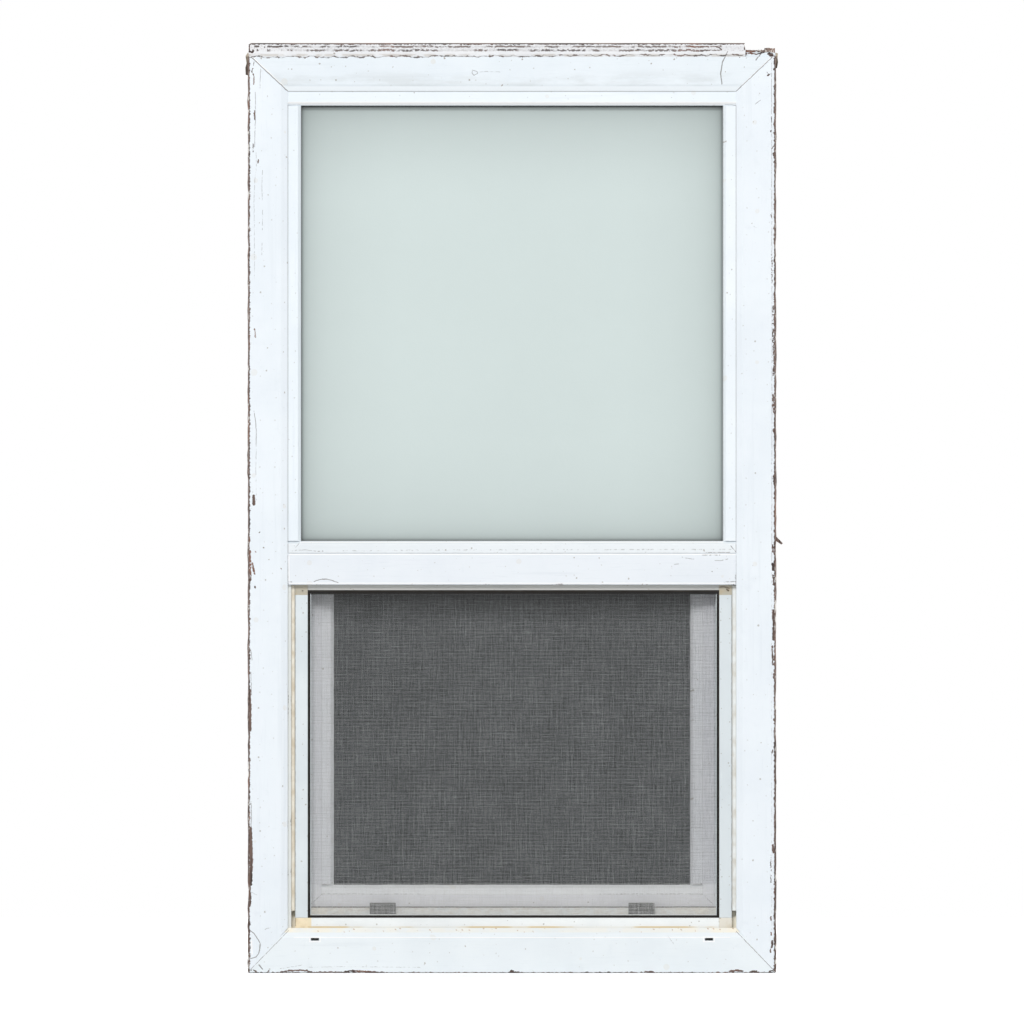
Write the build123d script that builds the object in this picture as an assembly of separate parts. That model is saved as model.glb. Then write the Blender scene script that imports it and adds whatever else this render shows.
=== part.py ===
from build123d import *
import os

# A single-hung sash window with its frame, standing upright on its sill.
# X runs across, with +X to the right as seen from outside. Y runs from outside to inside.
# Z is up from the underside of the sill. A depth is measured back from the outside face.

# Play between pieces that are fitted by hand, and the slimmer play of a turning pin.
fit = 0.3
pin_fit = 0.05

# The outside frame: widths of its four faces as seen from outside.
frame_width = 597.2
face_height = 1038.7
jamb_face = 44.3
head_face = 39.0
sill_face = 51.0
inner_bevel = 7.4
bevel_drop = 2.5
arris = 1.5

# Glazing of the upper light, from the outside inwards.
bead_setback = 3.5
bead_depth = 7.5
bead_nose = 3.5
side_bead = 15.2
top_bead = 16.4
bottom_bead = 13.6
front_tape = 1.0
pane = 3.0
upper_cavity = 12.0
back_tape = 2.0
tape_width = 8.0
edge_gap = 4.0
spacer_width = 7.0
spacer_inset = 3.0
block_length = 60.0

# Stops that hold the upper light and guide the moving sash.
parting_depth = 6.0
parting_width = 24.8
running_gap = 2.0
sash_depth = 32.0
inside_stop_depth = 8.5
inside_stop_width = 14.3

# The sill: lip, screen track, dam, sash seat and inner upstand.
sill_slope_rise = 5.8
sill_slope_run = 3.0
sill_lip_rise = 5.1
sill_lip_run = 3.5
lip_thickness = 3.0
track_drop = 3.2
dam_height = 27.0
dam_bevel = 3.8
sash_seat_rise = 5.2
upstand_rise = 27.0
drip_width = 4.0
drip_depth = 3.0
drip_setback = 14.0
weep_width = 9.1
weep_height = 3.0
weep_drop = 12.75
weep_from_jamb = 31.0
weep_well = 6.0

# The head stands higher behind its face, and a thin board is planted on top of the face.
head_back_rise = 8.3
head_back_setback = 12.0
strip_height = 15.3
strip_setback = 4.0
strip_loss = 34.6
break_reach = 1.0
ragged_loss = 4.4

# The fixed meeting rail and the catch that it shares with the check rail.
meeting_top = 476.0
meeting_height = 36.2
rail_setback = 4.0
flange_depth = 8.0
screen_pocket = 16.2
leg_rise = 26.0
catch_height = 11.0
catch_arm = 3.0
catch_finger = 1.8
catch_play = 0.8
catch_from_leg = 53.0

# The moving sash. Its check rail and beads are set back to pass behind the catch.
sash_side_play = 2.3
sash_foot_play = 1.0
sash_member = 35.3
sash_foot_member = 33.8
sash_bead = 14.4
sash_foot_bead = 11.4
sash_bead_depth = 7.0
sash_cavity = 6.0
sash_edge_gap = 3.0
sash_lip = 13.7
sash_lip_depth = 8.7
check_rise = 10.0
check_height = 40.0
check_setback = 4.0
sash_travel = 340.0
sweep_width = 8.0
sweep_height = 3.8

# Sash stops, balances and their groove in the jambs.
stop_height = 20.0
stop_reach = 18.0
stop_margin = 3.0
groove_width = 16.0
groove_depth = 12.0
tube_radius = 4.9
tube_wall = 1.3
tube_length = 390.0
tube_from_head = 25.0
ear_length = 15.0
ear_thickness = 1.5
rod_radius = 2.5
rod_in_tube = 35.0
shoe_height = 9.0
shoe_rise = 4.0

# Screws.
frame_screw_length = 45.0
frame_screw_radius = 2.0
frame_screw_head = 4.2
corner_screw_front = 25.0
sill_screw_rise = 15.3
head_screw_drop = 11.7
balance_screw_length = 16.0
lock_screw_length = 18.0
lock_screw_radius = 1.6
lock_screw_head = 3.2
fixing_radius = 2.5
fixing_low = 200.0
fixing_high = 850.0
fixing_back = 13.5

# The cam lock on the check rail and its keeper in the meeting rail.
lock_width = 66.0
lock_depth = 27.0
lock_height = 13.0
lock_corner = 6.0
cam_height = 4.0
cam_lift = 1.5
cam_hub = 8.0
cam_reach = 16.2
cam_nose = 5.0
spindle_radius = 3.45
lever_height = 4.5
lever_length = 34.0
lever_hub = 9.0
lever_tip = 5.0
lever_corner = 4.0
lever_round = 1.0
lock_screw_from_middle = 26.0
keeper_width = 40.0
keeper_depth = 4.5
keeper_height = 14.0
keeper_wall = 0.8
keeper_slot = 26.0

# The finger lift inside the bottom rail.
lift_length = 90.0
lift_plate = 2.0
lift_height = 22.0
lift_reach = 10.0
lift_curl = 6.0
lift_above_upstand = 9.0

# The insect screen in the lower half. A shim on its left pushes it to the right.
screen_depth = 11.0
screen_play = 0.5
screen_overlap = 7.4
screen_face = 14.2
screen_wall = 1.0
spline_width = 3.0
spline_groove = 5.0
mesh_setback = 1.8
mesh_lip = 0.8
mesh_thickness = 0.6
mesh_ridge = 0.25
ridges_across = 40
ridges_up = 30
gaps_across = 12
gaps_up = 10
gap_size = 3.0
top_key = 18.8
key_leg = 22.0
key_play = 0.2
key_hole = 0.9
left_key_hole = 8.5
right_key_hole = 4.4
tab_width = 29.6
tab_height = 13.4
tab_thickness = 1.6
tab_bend = 3.4
tab_from_jamb = 107.6
shim_width = 4.1
pile_width = 4.0
right_pile_width = 4.7
pile_depth = 9.0
pile_foot = 22.5

# The kerf of the flashing fin, the fin's torn scraps, and a splinter off the right jamb.
kerf_setback = 38.0
kerf_width = 2.6
kerf_depth = 6.0
scrap_rise = 5.0
scrap_left = 26.0
scrap_reach_left = 4.0
scrap_right = 18.0
scrap_reach_right = 3.4
splinter_setback = 2.0
splinter_depth = 4.0
splinter_height = 14.4
splinter_reach = 8.4
splinter_rise = 9.6

# Worked out from the sizes above: planes from outside to inside.
bead_back = bead_setback + bead_depth
pane_front = bead_back + front_tape
cavity_front = pane_front + pane
cavity_back = cavity_front + upper_cavity
unit_back = cavity_back + pane
parting_front = unit_back + back_tape
parting_back = parting_front + parting_depth
sash_front = parting_back + running_gap
sash_back = sash_front + sash_depth
inside_stop_front = sash_back + running_gap
frame_depth = inside_stop_front + inside_stop_depth
flange_back = rail_setback + flange_depth
screen_front = flange_back + screen_play
screen_back = screen_front + screen_depth
pocket_back = screen_back + 2 * screen_play
track_front = sill_slope_run + sill_lip_run + lip_thickness

# Levels from the sill upwards and half widths from the middle outwards.
half_width = frame_width / 2
opening = half_width - jamb_face
opening_top = face_height - head_face
track_floor = sill_face - track_drop
dam_top = track_floor + dam_height
sash_seat = track_floor + sash_seat_rise
upstand_top = sash_seat + upstand_rise
meeting_foot = meeting_top - meeting_height
leg_top = meeting_top + leg_rise
strip_break = half_width - strip_loss
stop_line = opening - parting_width
sash_foot = sash_seat + sash_foot_play
sash_top = meeting_top + check_rise
sash_half = opening - sash_side_play
stile_line = sash_half - sash_member
rail_line = sash_foot + sash_foot_member
check_foot = sash_top - check_height
screen_left = shim_width + pile_width + fit - opening
screen_right = opening - right_pile_width - fit
screen_foot = track_floor + fit
screen_top = meeting_foot + screen_overlap
groove_middle = (sash_front + sash_back) / 2
groove_floor = opening + groove_depth

parts = {}


def y_at(depth):
    """The Y of a depth, with the middle of the frame's depth on Y = 0."""
    return depth - frame_depth / 2


def face_of(outline, spot):
    """A flat face through the outline. A third number in a point rounds that corner."""
    corners = [Vector(*spot(point[0], point[1])) for point in outline]
    face = Face(Wire.make_polygon(corners, close=True))
    for point, corner in zip(outline, corners):
        if len(point) > 2:
            vertex = face.vertices().sort_by_distance(corner)[0]
            face = face.fillet_2d(point[2], [vertex])
    return face


def bar_x(outline, left, right):
    """A bar along X through an outline of (depth, height) points."""
    face = face_of(outline, lambda depth, height: (left, y_at(depth), height))
    return extrude(face, amount=right - left, dir=(1, 0, 0))


def bar_z(outline, low, high):
    """A bar along Z through an outline of (across, depth) points."""
    face = face_of(outline, lambda across, depth: (across, y_at(depth), low))
    return extrude(face, amount=high - low, dir=(0, 0, 1))


def plate(outline, front, back):
    """A plate facing outside through an outline of (across, height) points."""
    face = face_of(outline, lambda across, height: (across, y_at(front), height))
    return extrude(face, amount=back - front, dir=(0, 1, 0))


def slab(left, right, front, back, low, high):
    """A straight block between two planes each way."""
    return plate([(left, low), (right, low), (right, high), (left, high)], front, back)


def hoop(half, low, high, width, front, back):
    """A rectangular ring of even width that lies in the glass plane."""
    outer = slab(-half, half, front, back, low, high)
    return outer - slab(width - half, half - width, front, back, low + width, high - width)


def flipped(shape):
    """The same piece for the other side of the window."""
    return mirror(shape, about=Plane.YZ)


def screw(length, shank, head, play=0.0):
    """A countersunk screw along +X with its head's face on X = 0, or the hole for it."""
    top, side = head + play, shank + play
    outline = [(0, 0), (0, top), (head - shank, side), (length - shank, side), (length + play, 0)]
    face = Face(Wire.make_polygon([Vector(x, y, 0) for x, y in outline], close=True))
    return revolve(face, Axis.X)


def frame_screw_spots():
    """Where the corner screws enter the right jamb: (depth, height) pairs."""
    depths = (corner_screw_front, frame_depth - fixing_back)
    levels = (sill_screw_rise, face_height - head_screw_drop)
    return [(depth, level) for depth in depths for level in levels]


def corner_screw(depth, level, play=0.0):
    """One screw through the right jamb's outer side into the head or the sill."""
    drive = screw(frame_screw_length, frame_screw_radius, frame_screw_head, play)
    return Pos(half_width, y_at(depth), level) * Rot(0, 0, 180) * drive


def corner_screw_holes():
    """The holes of all the corner screws, in both jambs and what they bite into."""
    right = [corner_screw(depth, level, pin_fit) for depth, level in frame_screw_spots()]
    return right + [flipped(hole) for hole in right]


def cut_all(shape, tools):
    """The shape with each tool cut from it."""
    for tool in tools:
        shape = shape - tool
    return shape


def fin_kerfs():
    """The narrow kerf up the sides and over the top that held a flashing fin."""
    depths = (kerf_setback, kerf_setback + kerf_width)
    floor, top = half_width - kerf_depth, face_height + head_back_rise
    side = slab(floor, half_width + 1, *depths, -1, top + 1)
    over = slab(-half_width - 1, half_width + 1, *depths, top - kerf_depth, top + 1)
    return [side, flipped(side), over]


def sill():
    """The sill: sloped lip, screen track, dam, seat of the sash and inner upstand."""
    lip_foot = sill_face - sill_lip_rise
    lip_back = sill_slope_run + sill_lip_run
    drip_back = drip_setback + drip_width
    outline = [
        (0, 0, arris),
        (0, lip_foot - sill_slope_rise, arris),
        (sill_slope_run, lip_foot),
        (lip_back, sill_face),
        (track_front, sill_face),
        (track_front, track_floor),
        (pocket_back + screen_play, track_floor),
        (pocket_back + screen_play, dam_top - dam_bevel),
        (pocket_back + screen_play + dam_bevel, dam_top, arris),
        (parting_back, dam_top),
        (parting_back, sash_seat),
        (inside_stop_front, sash_seat),
        (inside_stop_front, upstand_top),
        (frame_depth, upstand_top, arris),
        (frame_depth, 0),
        (drip_back, 0),
        (drip_back, drip_depth),
        (drip_setback, drip_depth),
        (drip_setback, 0),
    ]
    bar = bar_x(outline, -half_width, half_width)
    bar = bar & mitre_room([(half_width, 0), (opening, sill_face), (opening, opening_top)])
    return cut_all(bar, weep_slots() + corner_screw_holes() + fin_kerfs())


def weep_slots():
    """Two slots in the sill's face, each drained into by a well in the screen track."""
    top = sill_face - weep_drop + weep_height / 2
    low, cuts = top - weep_height, []
    well = track_front + weep_well
    for middle in (weep_from_jamb - opening, opening - weep_from_jamb):
        left, right = middle - weep_width / 2, middle + weep_width / 2
        cuts.append(slab(left, right, -1, well, low, top))
        cuts.append(slab(left, right, track_front + 1, well, low, track_floor + 1))
    return cuts


def mitre_room(half):
    """The room of a bar between its two mitres, from the right half of its outline."""
    outline = half + [(-across, height) for across, height in reversed(half)]
    return plate(outline, -1, frame_depth + 1)


def head():
    """The head: a moulded face, and a higher back whose right end is worn ragged."""
    back_top = face_height + head_back_rise
    outline = [
        (0, face_height, arris),
        (0, opening_top + inner_bevel, arris),
        (bevel_drop, opening_top),
        (frame_depth, opening_top),
        (frame_depth, back_top, arris),
        (head_back_setback, back_top),
        (head_back_setback, face_height),
    ]
    bar = bar_x(outline, -half_width, half_width)
    worn = [(0, 0), (0.2, 0.4), (0.38, 0.2), (0.58, 0.8), (0.78, 0.55), (1.03, 1)]
    ragged = [(strip_break + x * strip_loss, back_top - z * ragged_loss) for x, z in worn]
    ragged += [(half_width + 1, back_top + 1), (strip_break, back_top + 1)]
    corner = [(half_width, back_top + 1), (half_width, face_height), (opening, opening_top)]
    bar = bar & mitre_room(corner + [(opening, sill_face)])
    bar = bar - plate(ragged, -1, frame_depth + 1)
    return cut_all(bar, fin_kerfs() + corner_screw_holes())


def left_jamb():
    """A jamb: moulded face, groove for the balance, fin kerf and two holes for fixing."""
    outline = [
        (-half_width, 0, arris),
        (-opening - inner_bevel, 0, arris),
        (-opening, bevel_drop),
        (-opening, groove_middle - groove_width / 2),
        (-groove_floor, groove_middle - groove_width / 2),
        (-groove_floor, groove_middle + groove_width / 2),
        (-opening, groove_middle + groove_width / 2),
        (-opening, frame_depth, arris),
        (-half_width, frame_depth, arris),
    ]
    bar = bar_z(outline, 0, face_height)
    room = [(-half_width, 0), (-opening, sill_face), (-opening, opening_top)]
    room.append((-half_width, face_height))
    bar = bar & plate(room, -1, frame_depth + 1)
    holes = [fixing_hole(level) for level in (fixing_low, fixing_high)]
    holes += corner_screw_holes() + [flipped(balance_screw(pin_fit))]
    return cut_all(bar, holes + fin_kerfs())


def fixing_hole(level):
    """A hole right through the left jamb, along X."""
    hole = Cylinder(fixing_radius, jamb_face + 2)
    middle = -(half_width + opening) / 2
    return Pos(middle, y_at(frame_depth - fixing_back), level) * Rot(0, 90, 0) * hole


def right_jamb():
    """The other jamb, with a splinter of its outer arris standing off half way up."""
    shape = [(-0.35, 1), (0, 0.7), (1, 0.1), (0.8, 0), (0, 0.3), (-0.35, 0.25)]
    outline = []
    for across, up in shape:
        level = meeting_top + splinter_rise + up * splinter_height
        outline.append((half_width + across * splinter_reach, level))
    splinter = plate(outline, splinter_setback, splinter_setback + splinter_depth)
    return flipped(left_jamb()) + splinter


def head_strip():
    """The thin board on top of the face, broken off short of the right corner."""
    top = face_height + strip_height
    outline = [(-half_width, face_height), (strip_break, face_height)]
    middle = face_height + strip_height / 2
    outline += [(strip_break + break_reach, middle), (strip_break - break_reach, top - arris)]
    outline += [(strip_break, top), (-half_width + 2 * arris, top), (-half_width, top - arris)]
    return plate(outline, strip_setback, head_back_setback)


def flashing_scraps():
    """What is left of the torn flashing fin, in its kerf near the top corners."""
    top, root = face_height + scrap_rise, half_width - kerf_depth
    front, back = kerf_setback + fit, kerf_setback + kerf_width - fit
    left = [(0, 1), (0.9, 0.96), (1, 0.65), (0.65, 0.46), (0.95, 0.15), (0.35, 0), (0, 0)]
    right = [(0, 1), (0.65, 0.96), (1, 0.6), (0.8, 0.3), (0.95, 0.05), (0.35, 0), (0, 0)]
    for name, side, reach, length, shape in (
        ("left", -1, scrap_reach_left, scrap_left, left),
        ("right", 1, scrap_reach_right, scrap_right, right),
    ):
        outline = [(side * (half_width + x * reach), top - z * length) for x, z in shape]
        outline += [(side * root, top), (side * root, top - length)]
        parts[name + "_flashing"] = plate(outline, front, back)


def meeting_rail():
    """The fixed rail between the lights: screen pocket below, glazing leg and catch behind."""
    pocket_top = meeting_foot + screen_pocket
    foot = leg_top - catch_from_leg
    outline = [
        (rail_setback, meeting_foot, arris),
        (rail_setback, meeting_top, arris),
        (parting_front, meeting_top),
        (parting_front, leg_top),
        (parting_back, leg_top, arris),
        (parting_back, foot),
        (pocket_back, foot),
        (pocket_back, pocket_top),
        (flange_back, pocket_top),
        (flange_back, meeting_foot),
    ]
    bar = bar_x(outline, -opening, opening)
    for side in (-1, 1):
        ends = sorted((side * (stop_line - fit), side * (opening + 1)))
        bar = bar - slab(*ends, parting_front, parting_back + 1, foot - 1, leg_top + 1)
    finger_front = parting_back + catch_play + catch_finger + catch_play
    hook = [
        (parting_back, foot),
        (parting_back, foot + catch_arm),
        (finger_front, foot + catch_arm),
        (finger_front, foot + catch_height),
        (finger_front + catch_finger, foot + catch_height),
        (finger_front + catch_finger, foot),
    ]
    catch = bar_x(hook, -stile_line + running_gap, stile_line - running_gap)
    return bar + catch - keeper_block(0)


def keeper_block(play):
    """The outer block of the keeper, let into the back of the glazing leg."""
    half = keeper_width / 2 - play
    level = sash_top - 1
    return slab(-half, half, parting_back - keeper_depth, parting_back, level, level + keeper_height)


def lock_keeper():
    """The keeper: a block with a slot that the cam's nose turns into."""
    low = sash_top + cam_lift - fit
    high = sash_top + cam_lift + cam_height + fit
    front = parting_back - keeper_depth + keeper_wall
    half = keeper_slot / 2
    return keeper_block(0) - slab(-half, half, front, parting_back + 1, low, high)


def glazing_beads():
    """The four beads that hold the upper light, the side ones standing between the others."""
    low, high = meeting_top + bottom_bead, opening_top - top_bead
    nose = bead_setback + bead_nose
    side = [(-opening, bead_setback), (side_bead - bead_nose - opening, bead_setback, arris)]
    side += [(side_bead - opening, nose), (side_bead - opening, bead_back), (-opening, bead_back)]
    parts["upper_bead_left"] = bar_z(side, low, high)
    parts["upper_bead_right"] = flipped(parts["upper_bead_left"])
    for name, edge, inner, way in (
        ("upper_bead_bottom", meeting_top, low, -1),
        ("upper_bead_top", opening_top, high, 1),
    ):
        outline = [(bead_setback, edge), (bead_setback, inner + way * bead_nose, arris)]
        outline += [(nose, inner), (bead_back, inner), (bead_back, edge)]
        parts[name] = bar_x(outline, -opening, opening)


def sealed_unit(prefix, half, low, high, front, cavity):
    """Two panes with an aluminium spacer between them."""
    middle, back = front + pane, front + pane + cavity
    parts[prefix + "_outer_pane"] = slab(-half, half, front, middle, low, high)
    parts[prefix + "_inner_pane"] = slab(-half, half, back, back + pane, low, high)
    inset = (half - spacer_inset, low + spacer_inset, high - spacer_inset)
    parts[prefix + "_spacer"] = hoop(*inset, spacer_width, middle, back)


def upper_light():
    """The fixed frosted light with its tapes and setting blocks."""
    half, low, high = opening - edge_gap, meeting_top + edge_gap, opening_top - edge_gap
    sealed_unit("upper", half, low, high, pane_front, upper_cavity)
    front = hoop(half, low, high, tape_width, bead_back, pane_front)
    back = hoop(half, low, high, tape_width, unit_back, parting_front)
    parts["upper_tape"] = Compound(children=[front, back])
    blocks = []
    for middle in (-half / 2, half / 2):
        ends = (middle - block_length / 2, middle + block_length / 2)
        blocks.append(slab(*ends, pane_front, unit_back, meeting_top, low))
    parts["upper_setting_blocks"] = Compound(children=blocks)


def stops():
    """Parting stops in front of the sash and inside stops behind it."""
    left = bar_z(
        [
            (-opening, parting_front),
            (-stop_line, parting_front, arris / 2),
            (-stop_line, parting_back, arris / 2),
            (-opening, parting_back),
        ],
        dam_top,
        opening_top,
    )
    inner = inside_stop_width - opening
    behind = bar_z(
        [
            (-opening, inside_stop_front),
            (inner, inside_stop_front),
            (inner, frame_depth, arris),
            (-opening, frame_depth),
        ],
        upstand_top,
        opening_top,
    )
    parts["left_parting_stop"], parts["left_inside_stop"] = left, behind
    parts["right_parting_stop"], parts["right_inside_stop"] = flipped(left), flipped(behind)
    low = opening_top - parting_width
    ends = (-stop_line, stop_line)
    parts["head_parting_stop"] = slab(*ends, parting_front, parting_back, low, opening_top)
    low = opening_top - inside_stop_width
    parts["head_inside_stop"] = slab(inner, -inner, inside_stop_front, frame_depth, low, opening_top)


def sash_stops():
    """Blocks on the jambs that end the sash's travel."""
    low = sash_top + sash_travel + fit
    front, back = sash_front + stop_margin, sash_back - stop_margin
    block = slab(-opening, stop_reach - opening, front, back, low, low + stop_height)
    return Compound(children=[block, flipped(block)])


def screen_outline(edge, way):
    """A roll-formed bar's outline as (across, depth) points, from its outer edge inwards."""
    groove = screen_face + spline_width
    floor = screen_front + spline_groove
    shape = [
        (0, screen_front, arris / 2),
        (screen_face, screen_front),
        (screen_face, floor),
        (groove, floor),
        (groove, screen_front + mesh_setback),
        (groove + mesh_lip, screen_front + mesh_setback),
        (groove + mesh_lip, floor + screen_wall),
        (screen_face, floor + screen_wall),
        (screen_face, screen_back),
        (0, screen_back),
    ]
    return [(edge + way * point[0], *point[1:]) for point in shape]


def screen_bars():
    """The four hollow bars of the insect screen, their spline grooves mitred together."""
    walls = (screen_wall, screen_face - screen_wall)
    depths = (screen_front + screen_wall, screen_back - screen_wall)
    deep = 2 * screen_face
    inner_foot, inner_top = screen_foot + screen_face, screen_top - screen_face
    for name, edge, way in (("left", screen_left, 1), ("right", screen_right, -1)):
        bar = bar_z(screen_outline(edge, way), screen_foot, screen_top)
        sides = sorted(edge + way * wall for wall in walls)
        bar = bar - slab(*sides, *depths, screen_foot - 1, screen_top + 1)
        face, far = edge + way * screen_face, edge + way * (screen_face + deep)
        room = [(edge, inner_foot), (face, inner_foot), (far, inner_foot + deep)]
        room += [(far, inner_top - deep), (face, inner_top)]
        room += [(face, screen_top - top_key), (edge, screen_top - top_key)]
        parts["screen_" + name + "_stile"] = bar & plate(room, 0, frame_depth)
    for name, edge, way in (("bottom", screen_foot, 1), ("top", screen_top, -1)):
        outline = [(point[1], point[0], *point[2:]) for point in screen_outline(edge, way)]
        bar = bar_x(outline, screen_left, screen_right)
        levels = sorted(edge + way * wall for wall in walls)
        bar = bar - slab(screen_left - 1, screen_right + 1, *depths, *levels)
        ends = (screen_left + screen_face, screen_right - screen_face)
        face, far = edge + way * screen_face, edge + way * (screen_face + deep)
        room = [(ends[0], edge), (ends[1], edge), (ends[1], face)]
        room += [(ends[1] - deep, far), (ends[0] + deep, far), (ends[0], face)]
        parts["screen_" + name + "_rail"] = bar & plate(room, 0, frame_depth)


def screen_corners():
    """Four moulded corner keys, with legs inside the hollow bars."""
    keys = []
    shy = screen_wall + key_play
    depths = (screen_front + shy, screen_back - shy)
    for level, up, height in ((screen_foot, 1, screen_face), (screen_top, -1, top_key)):
        for edge, way, inset in ((screen_left, 1, left_key_hole), (screen_right, -1, right_key_hole)):
            sides = sorted((edge, edge + way * screen_face))
            key = slab(*sides, screen_front, screen_back, *sorted((level, level + up * height)))
            across = sorted((edge + way * shy, edge + way * (screen_face - shy)))
            legs = sorted((level + up * height, level + up * (height + key_leg)))
            key = key + slab(*across, *depths, *legs)
            reach = sorted((edge + way * screen_face, edge + way * (screen_face + key_leg)))
            tall = sorted((level + up * shy, level + up * (screen_face - shy)))
            key = key + slab(*reach, *depths, *tall)
            if up < 0:
                hole = Cylinder(key_hole, spline_groove)
                spot = (edge + way * inset, y_at(screen_front), level - screen_face)
                key = key - Pos(*spot) * Rot(90, 0, 0) * hole
            keys.append(key)
    return Compound(children=keys)


def screen_cloth():
    """The mesh: one thin wall with crossing ridges and small gaps, and the spline round it."""
    inset = screen_face + spline_width
    left, right = screen_left + inset, screen_right - inset
    low, high = screen_foot + inset, screen_top - inset
    back = screen_front + mesh_setback
    front = back - mesh_thickness
    across, up = (right - left) / ridges_across, (high - low) / ridges_up
    outline = [(left, back), (left, front)]
    for index in range(1, ridges_across):
        middle = left + index * across
        outline += [(middle - mesh_ridge, front), (middle, front - mesh_ridge)]
        outline.append((middle + mesh_ridge, front))
    outline += [(right, front), (right, back)]
    cloth = bar_z(outline, low, high)
    inner_left, inner_right = left + 2 * mesh_lip, right - 2 * mesh_lip
    for index in range(1, ridges_up):
        middle = low + index * up
        ridge = [(back, middle - mesh_ridge), (back + mesh_ridge, middle)]
        ridge.append((back, middle + mesh_ridge))
        cloth = cloth + bar_x(ridge, inner_left, inner_right)
    step_x, step_z = (right - left) / gaps_across, (high - low) / gaps_up
    gaps = []
    for column in range(gaps_across):
        for row in range(gaps_up):
            spot_x, spot_z = left + (column + 0.5) * step_x, low + (row + 0.5) * step_z
            corner_x = left + (round((spot_x - left) / across - 0.5) + 0.5) * across
            corner_z = low + (round((spot_z - low) / up - 0.5) + 0.5) * up
            half = gap_size / 2
            ends = (corner_x - half, corner_x + half, front - 1, back + 1)
            gaps.append(slab(*ends, corner_z - half, corner_z + half))
    parts["screen_mesh"] = cloth - gaps
    play = key_play / 2
    edges = (screen_face + play, inset - play)
    outer = slab(
        screen_left + edges[0],
        screen_right - edges[0],
        screen_front + mesh_setback / 2,
        screen_front + spline_groove,
        screen_foot + edges[0],
        screen_top - edges[0],
    )
    inner = slab(
        screen_left + edges[1],
        screen_right - edges[1],
        0,
        frame_depth,
        screen_foot + edges[1],
        screen_top - edges[1],
    )
    parts["screen_spline"] = outer - inner


def screen_tabs():
    """Two pull tabs standing on the bottom rail behind the mesh, their tops bent back."""
    foot = screen_foot + screen_face + spline_width + mesh_lip
    front = screen_front + mesh_setback + mesh_ridge + key_play
    top, bend = foot + tab_height, foot + tab_height - tab_bend
    outline = [(front, foot), (front, bend), (front + tab_bend / 2, top)]
    outline += [(front + tab_bend / 2 + tab_thickness, top), (front + tab_thickness, bend)]
    outline.append((front + tab_thickness, foot))
    tabs = []
    for middle in (tab_from_jamb - opening, opening - tab_from_jamb):
        tabs.append(bar_x(outline, middle - tab_width / 2, middle + tab_width / 2))
    return Compound(children=tabs)


def screen_seals():
    """The shim beside the screen and the pile strips that close its edges."""
    shim = shim_width - opening
    foot = track_floor
    back = pocket_back + screen_play
    parts["screen_shim"] = slab(-opening, shim, track_front, back, foot, meeting_foot)
    depths = (screen_front + screen_play, screen_front + screen_play + pile_depth)
    foot = track_floor + pile_foot
    top = meeting_foot - fit
    parts["left_screen_pile"] = slab(shim, shim + pile_width, *depths, foot, top)
    parts["right_screen_pile"] = slab(screen_right + fit, opening, *depths, foot, top)


def sash_frame():
    """The moving sash: mitred at the foot, with the check rail between the stiles."""
    lip_front = sash_back - sash_lip_depth
    inner = stile_line - sash_lip
    outline = [
        (-sash_half, sash_front, arris / 2),
        (-stile_line, sash_front),
        (-stile_line, lip_front),
        (-inner, lip_front),
        (-inner, sash_back, arris),
        (-sash_half, sash_back, arris),
    ]
    stile = bar_z(outline, sash_foot, sash_top)
    room = [(-sash_half, sash_foot), (-inner, rail_line + sash_lip), (-inner, sash_top)]
    room.append((-sash_half, sash_top))
    stile = stile & plate(room, 0, frame_depth)
    check_notch = slab(-stile_line, 0, 0, frame_depth, check_foot - sash_lip, sash_top + 1)
    parts["sash_left_stile"] = stile - check_notch
    parts["sash_right_stile"] = flipped(parts["sash_left_stile"])
    sweep_middle = (sash_front + sash_back) / 2
    groove = (sweep_middle - sweep_width / 2, sweep_middle + sweep_width / 2)
    groove_top = sash_foot + sweep_height - sash_foot_play
    outline = [
        (sash_front, sash_foot, arris / 2),
        (sash_front, rail_line),
        (lip_front, rail_line),
        (lip_front, rail_line + sash_lip),
        (sash_back, rail_line + sash_lip, arris),
        (sash_back, sash_foot, arris),
        (groove[1], sash_foot),
        (groove[1], groove_top),
        (groove[0], groove_top),
        (groove[0], sash_foot),
    ]
    rail = bar_x(outline, -sash_half, sash_half)
    room = [(-sash_half, sash_foot), (-inner, rail_line + sash_lip)]
    room += [(inner, rail_line + sash_lip), (sash_half, sash_foot)]
    parts["sash_bottom_rail"] = rail & plate(room, 0, frame_depth)
    sweep = slab(-stile_line, stile_line, *groove, sash_seat + fit, groove_top)
    parts["sash_sweep"] = sweep
    parts["check_rail"] = check_rail(lip_front)


def check_rail(lip_front):
    """The top rail of the moving sash, with the catch that drops behind the meeting rail's."""
    front = sash_front + check_setback
    finger = parting_back + catch_play
    catch_foot = leg_top - catch_from_leg + catch_arm
    arm_low = catch_foot + catch_height + catch_arm
    outline = [
        (front, check_foot),
        (front, arm_low),
        (finger + catch_finger, arm_low),
        (finger + catch_finger, catch_foot + catch_arm),
        (finger, catch_foot + catch_arm),
        (finger, arm_low + catch_arm),
        (front, arm_low + catch_arm),
        (front, sash_top, arris),
        (sash_back, sash_top, arris),
        (sash_back, check_foot - sash_lip, arris),
        (lip_front, check_foot - sash_lip),
        (lip_front, check_foot),
    ]
    rail = bar_x(outline, -stile_line, stile_line)
    ends = slab(-sash_half, sash_half, parting_back, sash_front, sash_foot, sash_top)
    ends = ends - slab(
        running_gap + 1 - stile_line,
        stile_line - running_gap - 1,
        0,
        frame_depth,
        sash_foot,
        sash_top,
    )
    holes = [flipped(hole) for hole in lock_screws(pin_fit)]
    return cut_all(rail - ends, lock_screws(pin_fit) + holes)


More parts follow.
